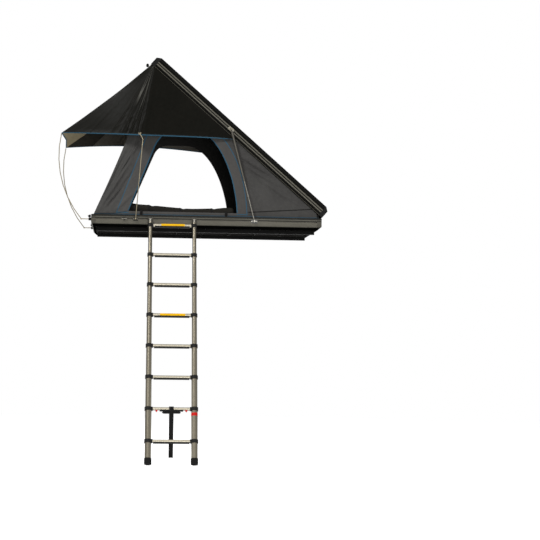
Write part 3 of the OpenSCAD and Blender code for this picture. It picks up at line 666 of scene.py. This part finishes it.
def fly_hem(s, lift=RIGHT_LIFT):
    """The hem hangs a little below the right pole's tip, and is drawn up over the left one's."""
    if s > 3:
        return flipped(fly_hem(6 - s, LEFT_LIFT))
    side = HEM_SIDE + vec(0, 0, lift)
    if s <= 1:
        return mixed(HEM_START, side, s) + HEM_BOW * sin(pi * s)
    if s <= 2:
        return mixed(side, HEM_CORNER, s - 1) + HEM_BOW * sin(pi * (s - 1))
    return mixed(HEM_CORNER, vec(HEM_CORNER.x + HEM_IN, 0, HEM_CORNER.z + HEM_RISE), s - 2)


def ridge(x, y, z):
    """A crease with a sharp back, from 0 to 1."""
    return max(0.0, 1 - 3.4 * abs(noise.noise(vec(x, y, z)))) ** 1.4


def fly_ridges(s, t):
    """The place from the nearer front end, the side's seed, and the broad and fine creases there."""
    q, hand = min(s, 6 - s), 0.3 if s < 3 else 5.1
    return q, hand, ridge(q * 11, t * 0.7, hand), ridge(q * 25 + t * 2, t * 1.3, hand + 3)


def fly_crest(s, t):
    """Where the fly's painted highlight goes: 1 on the back of a sharp crease beside the corner's fold, and 0 away
    from it.
    """
    q, _, broad, fine = fly_ridges(s, t)
    near = exp(-((q - 1.2) / 0.17) ** 2) * max(0.0, min(1.0, (0.95 - t) / 0.45))
    return near * max(broad, 0.7 * fine) ** 2


def fly_point(s, t):
    """A point of the fly: it sags a little between rim and hem, and creases fan down from the corner."""
    p = mixed(fly_top(s), fly_hem(s), t)
    sag = vec(0.4, 0, -0.9) * 0.014 * sin(pi * t)
    q, hand, broad, fine = fly_ridges(s, t)
    taut = exp(-((q - 1.13) / 0.22) ** 2)
    pitch = mixed(0.06, 0.75, t) / 11
    fan = broad + 0.45 * taut * fine - 0.4
    veins = ridge(q * 8 - t * 6, t * 2.5 + q * 2, hand + 8) - 0.3
    slack = folds(p, 3.0, 1)
    held = min(1, t / 0.05) * min(1, (1 - t) / 0.06)
    away = vec(-0.35, -0.6 if s < 3 else 0.6, 0.3)
    rise = min(0.013, 0.24 * pitch) * (0.035 + 0.04 * (q < 1) + taut) * fan
    rise += 0.0035 * (0.08 + taut) * veins * t
    rise += 0.006 * slack
    if q > 2:
        corner = ridge((q - 2) * 7 - t * 2.5, t * 1.2, hand + 11)
        corner += 0.5 * ridge((q - 2) * 16 - t * 5, t * 2, hand + 14)
        rise += 0.006 * (corner - 0.45) * min(1, (q - 2) * 4) * (1 - 0.5 * (q - 2))
    return p + sag + away * rise * held


FLY_ROWS = 64


def fly_panel(name, stops, under):
    """One panel between two seams, on the body of its fold."""
    fine = 110 if len(stops) == 3 else 60
    columns = [stops[0]]
    for a, b in zip(stops, stops[1:]):
        columns += steps(a, b, fine)[1:]
    grid = [[fly_point(s, t) for t in steps(0, 1, FLY_ROWS)] for s in columns]
    lengths = [(fly_hem(s) - fly_top(s)).length for s in columns]
    run = run_along([fly_hem(s) for s in columns])
    fly = sheet_object(f"fly_{name}_cloth", grid, [fly_outside, under], CLOTH,
                       lambda i, j: (run[i], (1 - j / FLY_ROWS) * lengths[i]),
                       border=lambda i, j: float(2 <= columns[i] <= 4),
                       crest=lambda i, j: fly_crest(columns[i], j / FLY_ROWS))
    belongs(fly, f"fly_{name}", f"fly_{name}")
    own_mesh(fly)


for part, stops, across, edge, layer, under in (
        ("right", (0, 1, FLY_SPLIT), vec(0, -1, 0), FLY_BEND, 0.00008, fly_inside),
        ("left", (6 - FLY_SPLIT, 5, 6), vec(0, 1, 0), flipped(FLY_BEND), 0.00015, fly_inside),
        ("rear", (FLY_SPLIT, 2, 3, 4, 6 - FLY_SPLIT), -RAIL_DIR, FLY_BACK, 0.00022, fly_tan)):
    turn = radians(joints[f"fly_{part}_fold"]["range_deg"][1] - 0.2)
    fly_panel(part, stops, under)

# Webbing tab from the left hem down to its pole's tip
HEM_TAB_WIDE = 0.034
HEM_TAB_TOP = fly_point(5, 0.985) + vec(0, 0.0015, 0)
HEM_TAB_END = flipped(HEM_SIDE) + vec(0, 0.001, -0.014)
tab = strip("hem_tab_left", steps(HEM_TAB_TOP, HEM_TAB_END, TAB_STEPS), HEM_TAB_WIDE, 6, TAB,
            lambda i, j: (i * 0.005, j * 0.0057))
belongs(tab, "fly_left")
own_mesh(tab)

# Side walls: rings of cloth between the door's edge and the wall's outline
DOOR_REAR = {-1: -0.728, 1: -0.764}
DOOR_HIGH = {-1: -0.425, 1: -0.44}
DOOR_BEND = {-1: 0.2, 1: 0.11}
DOOR_FRONT, DOOR_CROWN, DOOR_TOP, BORDER_REAR = 0.275, -0.15, 0.949, -0.847
WALL_Y = HALF_W - 0.0225
RIM_FADE, PUFF = 0.06, 0.004


def spline(a, b, c, d, t):
    """A point of a cubic curve from a to d."""
    return a * (1 - t) ** 3 + 3 * b * t * (1 - t) ** 2 + 3 * c * t * t * (1 - t) + d * t ** 3


def door_line(u, out, side):
    """The door's edge at out 0, and its border's outer edge at out 1, round from the rear lower corner."""
    grow, low = 0.1 * out, SILL + 0.016 - 0.028 * out
    rear = vec(mixed(DOOR_REAR[side], BORDER_REAR, out), low)
    front = vec(DOOR_FRONT + grow, low)
    crown = vec(DOOR_CROWN - grow, DOOR_TOP + grow)
    high = vec(DOOR_HIGH[side] - 0.85 * grow, DOOR_TOP + grow)
    if u <= 1:
        return mixed(rear, front, u)
    if u <= 2:
        return spline(front, front + vec(-0.018 - 0.1 * grow, 0.34 + 2.6 * grow),
                      crown + vec(0.25 + 0.9 * grow, -0.02 + 0.2 * grow), crown, u - 1)
    end, bend = crown if u <= 3 else rear, DOOR_BEND[side]
    away = abs(u - 3) * (end - high).length
    if away >= bend:
        return mixed(high, end, abs(u - 3))
    t = 0.5 + copysign(0.5 * away / bend, u - 3)
    before = high + (crown - high).normalized() * bend
    after = high + (rear - high).normalized() * bend
    return mixed(mixed(before, high, t), mixed(high, after, t), t)


TOP_REAR = on_lid(-HALF_L + 0.02, 0, 0)
WALL_REAR = vec(-HALF_L + 0.02, RIM + 0.0005)
WALL_FRONT = vec(HINGE.x - 0.04, RIM + 0.0005)
WALL_TOP = vec(TOP_REAR.x, TOP_REAR.z - 0.001)
WALL_NOSE = vec(WALL_FRONT.x, RIM + 0.0005 + 0.04 * tan(OPEN))
WALL_BEND = mixed(WALL_NOSE, WALL_TOP, 0.78)


def wall_line(u):
    """The wall's outline: along the rim, up the lid's edge in two runs, and down the rear edge."""
    if u <= 1:
        return mixed(WALL_REAR, WALL_FRONT, u)
    if u <= 2:
        return mixed(WALL_NOSE, WALL_BEND, u - 1)
    if u <= 3:
        return mixed(WALL_BEND, WALL_TOP, u - 2)
    return mixed(WALL_TOP, WALL_REAR, u - 3) + vec(0.03 * sin(pi * (u - 3)), 0)


# Creases of the side walls: two ends in the wall's plane, width and height
CREASES = [((-0.99, 0.2), (-0.7, 0.66), 0.016, 0.02), ((-0.93, 0.19), (-0.66, 0.58), 0.013, -0.016),
           ((-0.99, 0.26), (-0.72, 0.78), 0.014, -0.014), ((-0.86, 0.17), (-0.62, 0.4), 0.014, 0.014),
           ((-0.78, 0.6), (-0.56, 0.95), 0.016, 0.014), ((0.36, 0.78), (0.9, 0.36), 0.016, 0.016),
           ((0.3, 0.66), (0.82, 0.2), 0.016, -0.014), ((0.42, 0.62), (0.74, 0.42), 0.012, 0.014),
           ((0.34, 0.5), (0.5, 0.2), 0.014, 0.012), ((-0.4, 1.3), (-0.74, 0.75), 0.02, 0.012),
           ((0.5, 0.48), (0.97, 0.19), 0.013, 0.012), ((0.2, 0.9), (0.42, 0.7), 0.012, 0.012),
           ((-1.0, 0.24), (-0.66, 0.82), 0.007, -0.011), ((-0.96, 0.2), (-0.7, 0.5), 0.006, 0.009),
           ((-0.9, 0.34), (-0.56, 0.98), 0.007, -0.01), ((-0.84, 0.5), (-0.6, 0.86), 0.006, 0.008),
           ((-0.98, 0.32), (-0.8, 0.72), 0.007, 0.009), ((-0.74, 0.2), (-0.58, 0.46), 0.006, -0.009),
           ((0.33, 0.83), (0.72, 0.5), 0.007, -0.009), ((0.4, 0.55), (0.86, 0.3), 0.006, 0.008),
           ((0.36, 0.4), (0.62, 0.24), 0.007, -0.009), ((0.31, 0.6), (0.46, 0.36), 0.006, 0.008),
           ((0.56, 0.6), (0.9, 0.32), 0.006, -0.008), ((0.29, 0.685), (0.7, 0.45), 0.014, -0.032),
           ((0.33, 0.6), (0.68, 0.4), 0.013, -0.02), ((-0.5, 1.2), (-0.66, 0.9), 0.008, -0.01)]


def side_wall(side, s):
    """A ring of cloth: inner rows are the door's border, and outer rows the wall round it."""
    columns, inner, outer = 280, 14, 64
    grid = []
    for u in steps(0, 4, columns):
        column = []
        for j in range(inner + outer + 1):
            p = door_line(u, min(1, j / inner), s)
            if j > inner:
                p = mixed(p, wall_line(u), (j - inner) / outer)
            rise = sum(h * crease(p, a, b, w) for a, b, w, h in CREASES)
            rise += 0.004 * folds((p.x, p.y, 3.0 * s), 3.5) + 0.0015 * folds((p.x * 2, p.y, 1.0), 11.0)
            edge = min(1, (inner + outer - j) / 10) * min(1, 0.1 + j / 12)
            edge *= min(1, max(0, p.y - RIM) / RIM_FADE)
            column.append(vec(p.x, s * (WALL_Y + 0.95 * rise * edge + PUFF * edge), p.y))
        grid.append(column)
    if s < 0:
        grid.reverse()
    wall = sheet_object(f"wall_{side}", grid, [canvas, canvas_inside], CLOTH,
                        lambda i, j: (grid[i][j].x, grid[i][j].z), border=lambda i, j: j / inner)
    stands(wall)
    return wall


walls = {side: side_wall(side, s) for side, s in SIDES}
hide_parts("tent_body")

# Webbing tabs over the sills, which tie the rolled doors
SILL_TAB = (0.054, 0.022)
SILL_TAB_LOW = RIM - 0.006
for side, s in SIDES:
    for number, x in ((1, -0.61), (2, 0.175)):
        middles = [vec(x, s * (WALL_Y + 0.009 + 0.004 * sin(pi * i / TAB_STEPS)), z)
                   for i, z in enumerate(steps(SILL + 0.026, SILL_TAB_LOW, TAB_STEPS))]
        tab = strip(f"sill_tab_{side}_{number}", middles, s * SILL_TAB[1], 4, TAB,
                    lambda i, j: (i * 0.004, j * 0.0055))
        stands(tab)


def cross_wall(name, grid):
    """Canvas from side to side of the tent."""
    wall = sheet_object(name, grid, [canvas, canvas_inside], CLOTH,
                        lambda i, j: (grid[i][j].y, grid[i][j].z), border=lambda i, j: 5.0)
    stands(wall)


FINE = 60
rear_grid = []
for i, y in enumerate(steps(WALL_Y, -WALL_Y, FINE)):
    column = []
    for j in range(FINE + 1):
        p = wall_line(4 - j / FINE)
        edge = min(1, min(j, FINE - j) / 6) * min(1, min(i, FINE - i) / 4)
        rise = 0.008 * folds((y, p.y, 9.0), 2.2) + 0.003 * folds((y * 2, p.y, 2.0), 8.0)
        column.append(vec(p.x - rise * edge, y, p.y))
    rear_grid.append(column)
cross_wall("rear_wall", rear_grid)

# Low strip of the same cloth across the front, between the base's rim and the lid
front_grid = []
for y in steps(-WALL_Y, WALL_Y, FINE):
    column = []
    for j, z in enumerate(steps(WALL_FRONT.y, WALL_NOSE.y, 8)):
        bulge = 0.004 * sin(pi * j / 8) * (1 + 0.5 * folds((y, j * 0.1, 4.0), 6.0))
        column.append(vec(WALL_FRONT.x + bulge, y, z))
    front_grid.append(column)
cross_wall("front_strip", front_grid)

# Mattress: a crowned pad with sewn channels across it
low, high = (Vector(c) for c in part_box("mattress"))
middle, reach = (low + high) / 2, (high - low) / 2
PAD_RINGS, PAD_ROUND, PAD_CHANNELS = 120, 48, 7
rings = []
for k, x in enumerate(steps(low.x + 0.002, high.x - 0.002, PAD_RINGS)):
    end = min(1, (1 - abs(x - middle.x) / reach.x) / 0.05)
    channel = 0.004 * (1 - abs(sin(pi * PAD_CHANNELS * k / PAD_RINGS)) ** 0.4)
    ring = []
    for a in steps(0, 2 * pi, PAD_ROUND)[:-1]:
        c, s = cos(a), sin(a)
        y = reach.y * 0.995 * copysign(abs(c) ** 0.3, c)
        z = reach.z * copysign(abs(s) ** 0.55, s) * (0.75 + 0.25 * end ** 0.5)
        top = (0.97 - 0.12 * (y / reach.y) ** 8) * z - channel if z > 0 else z
        ring.append(vec(x, y * (0.985 + 0.015 * end), middle.z + top))
    rings.append(ring)
pad = ring_object("mattress_pad", rings, foam_cover)
belongs(pad, "base", "mattress")

# Rolled doors on the sills
ROLL_Y, ROLL_R, ROLL_FOLDED = 0.56, 0.042, 0.12
ROLL_RINGS, ROLL_ROUND = 100, 32
low, high = (Vector(c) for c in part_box("door_rolls"))
for side, s in SIDES:
    rings = []
    for k, x in enumerate(steps(low.x - 0.056, high.x - 0.002, ROLL_RINGS)):
        end = min(1.0, (1 - abs(2 * k / ROLL_RINGS - 1)) / 0.05) ** 0.5
        tie = sum(exp(-((x - low.x - (high.x - low.x) * f) / 0.018) ** 2) for f in (0.2, 0.5, 0.8))
        lift = 0.014 + (0.05 * (1 - k / 60) ** 1.3 if k < 60 else 0.022 * ((k - 60) / 40) ** 1.4)
        r_y = ROLL_R * end * (1 - 0.14 * tie)
        r_z = (high.z - low.z) / 2 * 0.95 * end * (1 - 0.14 * tie)
        ring = []
        for a in steps(0, 2 * pi, ROLL_ROUND)[:-1]:
            turn = 1 + 0.06 * sin(a * 3 + k * 0.05)
            turn += 0.07 * folds((x * 3, cos(a) * 0.2, sin(a) * 0.2), 4.0)
            z = (low.z + high.z) / 2 + lift + r_z * min(turn, 1.04) * sin(a)
            ring.append(vec(x, s * ROLL_Y + r_y * turn * cos(a), z))
        rings.append(ring)
    roll = ring_object(f"door_roll_{side}", rings, roll_cloth)
    stands(roll)
    if s < 0:
        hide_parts("door_rolls")
    for number, k in ((1, 21), (2, 50), (3, 79)):
        band = []
        for ring in rings[k - 1:k + 2]:
            heart = sum(ring, Vector()) / len(ring)
            band.append([heart + (p - heart) * 1.05 for p in ring + ring[:1]])
        if s < 0:
            band.reverse()
        tie = sheet_object(f"roll_tie_{side}_{number}", band, [webbing], TIE,
                           lambda i, j: (j * 0.009, i * 0.01))
        stands(tie)

# Headliner: a thin quilted pad under the roof panel
LINER_V = 0.109 - 0.02 - 0.0055
LINER_L, LINER_W, QUILT = HALF_L - 0.044, HALF_W - 0.044, 0.16
LINER_RINGS, LINER_ACROSS = 96, 64
rings = []
for k, x in enumerate(steps(-LINER_L, LINER_L, LINER_RINGS)):
    ring = []
    for m, y in enumerate(steps(-LINER_W, LINER_W, LINER_ACROSS)):
        quilt = abs(sin((x + y) * pi / QUILT) * sin((x - y) * pi / QUILT)) ** 0.5
        rim_end = min(1, min(k, LINER_RINGS - k) / 2, min(m, LINER_ACROSS - m) / 2)
        ring.append(on_lid(x, y, LINER_V - 0.0035 - 0.004 * quilt * rim_end))
    for y in (LINER_W, -LINER_W):
        ring.append(on_lid(x, y, LINER_V - 0.001))
    rings.append(ring)
liner = ring_object("headliner", rings, liner_cloth)
belongs(liner, "lid", "lid_liner")


# Ladder strap: a loop of webbing round a rung with a tail that hangs behind
def ladder_point(x, out, s):
    """A point of the ladder: x from its middle, out of its plane, and s down from its pivot."""
    return vec(LADDER.x + x, LADDER.y, LADDER.z) + LADDER_OUT * out - LADDER_UP * s


def rung(k):
    """How far down the ladder a rung lies."""
    return FIRST_RUNG + (k - 1) * RUNG_PITCH


STRAP_WIDE, STRAP_HANG, STRAP_STEPS = 0.04, 0.395, 40
loop = [ladder_point(0, 0.019 * cos(a), rung(7) - 0.0205 * sin(a))
        for a in steps(pi / 2, 2.5 * pi, STRAP_STEPS)]
tail_top = ladder_point(0, 0.0, rung(7) + 0.034)
tail = [tail_top + vec(0, 0.004 * sin(k / 7), -STRAP_HANG * k / STRAP_STEPS)
        for k in range(STRAP_STEPS + 1)]
for name, points, node in (("strap_loop", loop, None), ("strap_tail", tail, "ladder_strap")):
    run = run_along(points)
    piece = strip(name, points, STRAP_WIDE, 3, STRAP, lambda i, j: (run[i], j * STRAP_WIDE / 3))
    belongs(piece, "ladder_7", node)

# Padded grip sewn to the strap, under the rung
GRIP_HALF, GRIP_R, GRIP_RINGS, GRIP_ROUND = 0.082, 0.011, 32, 20
rings = []
for k, x in enumerate(steps(-GRIP_HALF, GRIP_HALF, GRIP_RINGS)):
    end = min(1.0, (1 - abs(2 * k / GRIP_RINGS - 1)) / 0.14 + 0.05) ** 0.5
    ring = []
    for a in steps(0, 2 * pi, GRIP_ROUND)[:-1]:
        r = GRIP_R * end * (1 + 0.12 * folds((x * 8, cos(a) * 0.3, sin(a) * 0.3), 3.0))
        ring.append(ladder_point(x, -0.004 + r * cos(a), rung(7) + 0.032 + 0.9 * r * sin(a)))
    rings.append(ring)
grip = ring_object("strap_grip", rings, webbing)
belongs(grip, "ladder_7")


# Hard pieces
def settle(name, made, body, place):
    """Puts the active object in place through its mesh, and gives it its look and body."""
    obj = bpy.context.active_object
    obj.name = name
    dress(obj, made)
    obj.matrix_world = place
    bpy.ops.object.transform_apply(location=True, rotation=True, scale=True)
    belongs(obj, body)
    return obj


def bevelled(width, segments=2):
    modified("BEVEL", width=width, segments=segments, limit_method="ANGLE", angle_limit=radians(40))


def facing(point, out, up=vec(0, 0, 1)):
    """A place whose Z points out of a face."""
    out = Vector(out).normalized()
    side = up.cross(out).normalized() if abs(up.dot(out)) < 0.99 else vec(1, 0, 0)
    return Matrix.Translation(point) @ Matrix((side, out.cross(side), out)).transposed().to_4x4()


def turned_piece(name, cylinders, rounding, slot, body, place):
    """A piece from cylinders on one axis, each with its vertices, radius, depth and middle."""
    clear()
    for vertices, radius, depth, z in cylinders:
        bpy.ops.mesh.primitive_cylinder_add(vertices=vertices, radius=radius, depth=depth,
                                            location=(0, 0, z))
        mode("EDIT")
    mode("OBJECT")
    bevelled(*rounding)
    settle(name, looks[slot], body, place)


def bolt(name, point, out, body, radius=0.0065, height=0.0045):
    """A hexagon head on a washer."""
    head = (6, radius, height, height / 2 + 0.001)
    washer = (24, radius * 1.45, 0.0012, 0.0006)
    turned_piece(name, (head, washer), (0.0005, 2), "steel", body, facing(point, out))


def knob(name, point, out, body, radius=0.013, height=0.018):
    """A round thumb knob with a stepped foot."""
    foot = (32, radius * 0.6, height * 0.5, height * 0.25)
    grip = (32, radius, height * 0.6, height * 0.7)
    turned_piece(name, (foot, grip), (0.0016, 3), "corner", body, facing(point, out))


def cross_pin(name, point, length=0.046, radius=0.004):
    """A steel pin along X on the base, with a collar near each end."""
    pieces = [(20, radius, length, 0)]
    for e in (-1, 1):
        pieces.append((20, radius * 1.7, 0.005, e * (length / 2 - 0.007)))
    turned_piece(name, pieces, (0.0012, 3), "steel", "base", facing(point, (1, 0, 0)))


# Bow of a side pole, as in the frame, and the kink near its tip
POLE_LEG, POLE_BOW, POLE_R = 0.046, 0.925, 0.004
POLE_FOOT, POLE_TURN, POLE_LEAN = (radians(a) for a in (30, 50.5, 1.6))
POLE_KINK, KINK_AT, KINK_SOFT = 0.033, 0.926, 0.06


def side_pole(side, s):
    """A bent rod: a straight foot in its socket, a long bow, and a tip that kinks back to the hem."""
    foot = Vector(joints[f"pole_side_{side}_turn"]["pos_m"])
    reach = POLE_BOW * (sin(POLE_TURN - POLE_FOOT) + sin(POLE_FOOT))
    path = [(0.0045, 0.0), (POLE_LEG, 0.0)]
    for f in steps(0, 0.9, 40)[1:] + steps(0.9, 1, 20)[1:]:
        a = POLE_TURN * f - POLE_FOOT
        path.append((POLE_LEG + POLE_BOW * (cos(a) - cos(POLE_FOOT)), POLE_BOW * (sin(a) + sin(POLE_FOOT))))
    points = []
    for out, up in path:
        f = up / reach
        rise, fall = f / KINK_AT, (1 - f) / (1 - KINK_AT)
        kink = POLE_KINK * -KINK_SOFT * log(exp(-rise / KINK_SOFT) + exp(-fall / KINK_SOFT))
        points.append((foot.x + up * sin(POLE_LEAN) + max(0.0, kink), s * (HALF_W + out),
                       foot.z + up * cos(POLE_LEAN), 1.0))
    clear()
    bpy.ops.curve.primitive_nurbs_path_add()
    rod = bpy.context.active_object.data
    rod.splines.clear()
    line_of_rod = rod.splines.new("POLY")
    line_of_rod.points.add(len(points) - 1)
    for spot, co in zip(line_of_rod.points, points):
        spot.co = co
    rod.bevel_depth = POLE_R
    rod.bevel_resolution = 4
    rod.use_fill_caps = True
    bpy.ops.object.convert(target="MESH")
    mode("EDIT")
    bpy.ops.mesh.primitive_cylinder_add(vertices=24, radius=0.007, depth=0.012, rotation=(0, pi / 2, 0),
                                        location=(foot.x, s * (HALF_W + POLE_LEG), foot.z))
    turn_outward()
    bevelled(0.0008)
    bpy.ops.object.shade_smooth_by_angle()
    pole = settle(f"side_pole_{side}", pole_metal, f"pole_side_{side}", Matrix.Identity(4))
    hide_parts(f"pole_side_{side}")


def eyelet(side, s):
    """A pressed ring in the hem over the side pole's tip. It rides on the panel."""
    near = 1 if s < 0 else 5
    point, above = fly_point(near, 0.975), fly_point(near, 0.9)
    beside = fly_point(near - 0.03 * s, 0.975)
    if s > 0:
        point = HEM_TAB_END + vec(0, 0.001, 0.012)
    out = (above - point).cross(beside - point).normalized()
    out = -out if out.y * s < 0 else out
    clear()
    bpy.ops.mesh.primitive_torus_add(major_radius=0.008, minor_radius=0.003,
                                     major_segments=32, minor_segments=12)
    edit_all()
    bpy.ops.transform.resize(value=(1, 1, 0.6))
    mode("OBJECT")
    bpy.ops.object.shade_smooth()
    ring = settle(f"fly_eyelet_{side}", pole_metal, f"fly_{side}", facing(point + out * 0.001, out))
    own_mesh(ring)


# Small hardware beside the struts, poles and latches
STRUT_X, BRACKET_Y, BOLT_OFF = HINGE.x - 0.64, HALF_W + 0.004, 0.021
PIN_Y = HALF_W + 0.012
REAR_SCREW_Z, LATCH_Y, LATCH_OFF = 0.118, 0.16, 0.019
for side, s in SIDES:
    out = vec(0, s, 0)
    foot = vec(STRUT_X, s * BRACKET_Y, SOCKET_Z)
    top = Vector(joints[f"strut_swing_{side}"]["pos_m"])
    top.y = s * BRACKET_Y
    lever = on_lid(-HALF_L - 0.066, s * LATCH_Y, 0.034)
    for e in (-1, 1):
        bolt(f"strut_bolt_base_{side}_{e + 2}", foot + vec(BOLT_OFF * e, 0, 0), out, "base")
        bolt(f"strut_bolt_lid_{side}_{e + 2}", top + RAIL_DIR * BOLT_OFF * e, out, "lid")
    for spot, x in (("clip", CLIP_X), ("foot", side_low[0] + 0.004)):
        cross_pin(f"pole_{spot}_pin_{side}", vec(x, s * PIN_Y, SOCKET_Z))
    knob(f"pole_knob_{side}", vec(CLIP_X, s * HALF_W, SOCKET_Z), out, "base")
    screw = vec(-HALF_L - 0.013, s * (abs(rear_low[1]) - 0.004), REAR_SCREW_Z)
    knob(f"rear_screw_{side}", screw, vec(-0.5, 0, 0.85), "base", 0.014, 0.024)
    for e in (-1, 1):
        knob_at = lever + vec(0, LATCH_OFF * e, 0)
        knob(f"latch_knob_{side}_{e + 2}", knob_at, (0, e, 0), f"latch_lever_{side}", 0.013, 0.012)
    eyelet(side, s)
    side_pole(side, s)

# Three screws in each leaf of the three hinges
for k, y in enumerate((-0.45, 0, 0.45)):
    for e in (-0.055, 0, 0.055):
        lower, upper = vec(HALF_L + 0.003, y + e, HINGE.z - 0.026), on_lid(HALF_L + 0.003, y + e, 0.0245)
        for body, at, out in (("base", lower, (1, 0, 0)), ("lid", upper, RAIL_DIR)):
            bolt(f"hinge_screw_{body}_{k}_{e * 100 + 6:.0f}", at, out, body, radius=0.005, height=0.003)


def rung_bar(name, made, k, size, rounding, edge_width, x=0, below=0):
    """A bar along a rung, x from its middle and so far below it, whose four long edges are rounded."""
    clear()
    bpy.ops.mesh.primitive_cube_add(size=1)
    bar = bpy.context.active_object
    edit_all()
    bpy.ops.transform.resize(value=size)
    bpy.ops.mesh.select_all(action="DESELECT")
    mode("OBJECT")
    for edge in bar.data.edges:
        a, b = (bar.data.vertices[i].co for i in edge.vertices)
        edge.select = abs(a.x - b.x) > 0.5 * size[0]
    mode("EDIT")
    bpy.ops.mesh.select_mode(type="EDGE")
    bpy.ops.mesh.bevel(offset=rounding[0], segments=rounding[1])
    mode("OBJECT")
    bevelled(edge_width)
    place = facing(ladder_point(x, 0, rung(k) + below), LADDER_OUT, LADDER_UP)
    settle(name, made, f"ladder_{min(k, 7)}", place)


# Yellow tags round two rungs, and a black bar under each rung as painted shade
for k in (1, 4):
    rung_bar(f"rung_tag_{k}", yellow, k, (0.228, 0.0249, 0.0349), (0.0084, 6), 0.0003, x=0.006)
for k in range(1, 9):
    size = (0.206 if k == 7 else 0.318, 0.013, 0.03)
    rung_bar(f"rung_trough_{k}", looks["ladder_plastic"], k, size, (0.004, 3), 0.001, below=0.0145)

# Plain red band round the front stile, under the release rung
clear()
bpy.ops.mesh.primitive_cylinder_add(vertices=48, radius=0.0291, depth=0.028, end_fill_type="NOTHING")
modified("SOLIDIFY", thickness=0.0008)
bevelled(0.0002)
bpy.ops.object.shade_smooth()
settle("stile_band", looks["red"], "ladder_7",
       facing(ladder_point(0.2025, 0, rung(7) + 0.052), LADDER_UP, LADDER_OUT))

# Light and floor
world = bpy.data.worlds.new("studio")
scene.world = world
world.use_nodes = True
background = next(n for n in world.node_tree.nodes if n.type == "BACKGROUND")


def seen_directly(tree):
    """1 for rays from the camera, and for those that metal or glass sends on."""
    path = tree.nodes.new("ShaderNodeLightPath").outputs
    mirrored = greater(path["Is Glossy Ray"], path["Is Transmission Ray"])
    return greater(path["Is Camera Ray"], mirrored)


seen = seen_directly(world.node_tree)
fill(background.inputs, Color=mix(seen, rgb(238, 238, 238), (1, 1, 1, 1)),
     Strength=ramp(seen, 0.0, 1.0, 0.4, 1.0))


def area_light(name, place, target, size, power):
    data = bpy.data.lights.new(name, "AREA")
    data.size = size
    data.energy = power
    light = bpy.data.objects.new(name, data)
    light.location = place
    light.rotation_euler = (Vector(target) - Vector(place)).to_track_quat("-Z", "Y").to_euler()
    scene.collection.objects.link(light)


area_light("key", (-5.0, -7.0, 8.0), (0, 0, 0), 2.6, 860)
area_light("fill", (1.0, -9.0, -0.4), (0, 0, 0.4), 3.5, 250)
area_light("back", (-4.0, 8.0, 5.0), (0, 0, 0), 6.0, 420)

clear()
bpy.ops.mesh.primitive_plane_add(size=120, location=(0, 0, cad_box[0][2] - 0.001))
floor = bpy.context.active_object
floor.name = "floor"
ground, ins, place = start("ground", 0.9)
span = new_node("VectorMath", place)
span.operation = "LENGTH"
put(span.inputs[0], mapped(place, (1, 1, 0)))
far = ramp(span.outputs[1], 2.0, 9.0)
glow = times(seen_directly(ground.node_tree), ramp(far, 0.0, 1.0, 0.62, 1.0))
fill(ins, Base_Color=mix(far, (0.93, 0.93, 0.93, 1), (0, 0, 0, 1)), Specular_IOR_Level=0.0,
     Emission_Color=(1, 1, 1, 1), Emission_Strength=glow)
floor.data.materials.append(ground)

scene.view_settings.view_transform = "Standard"
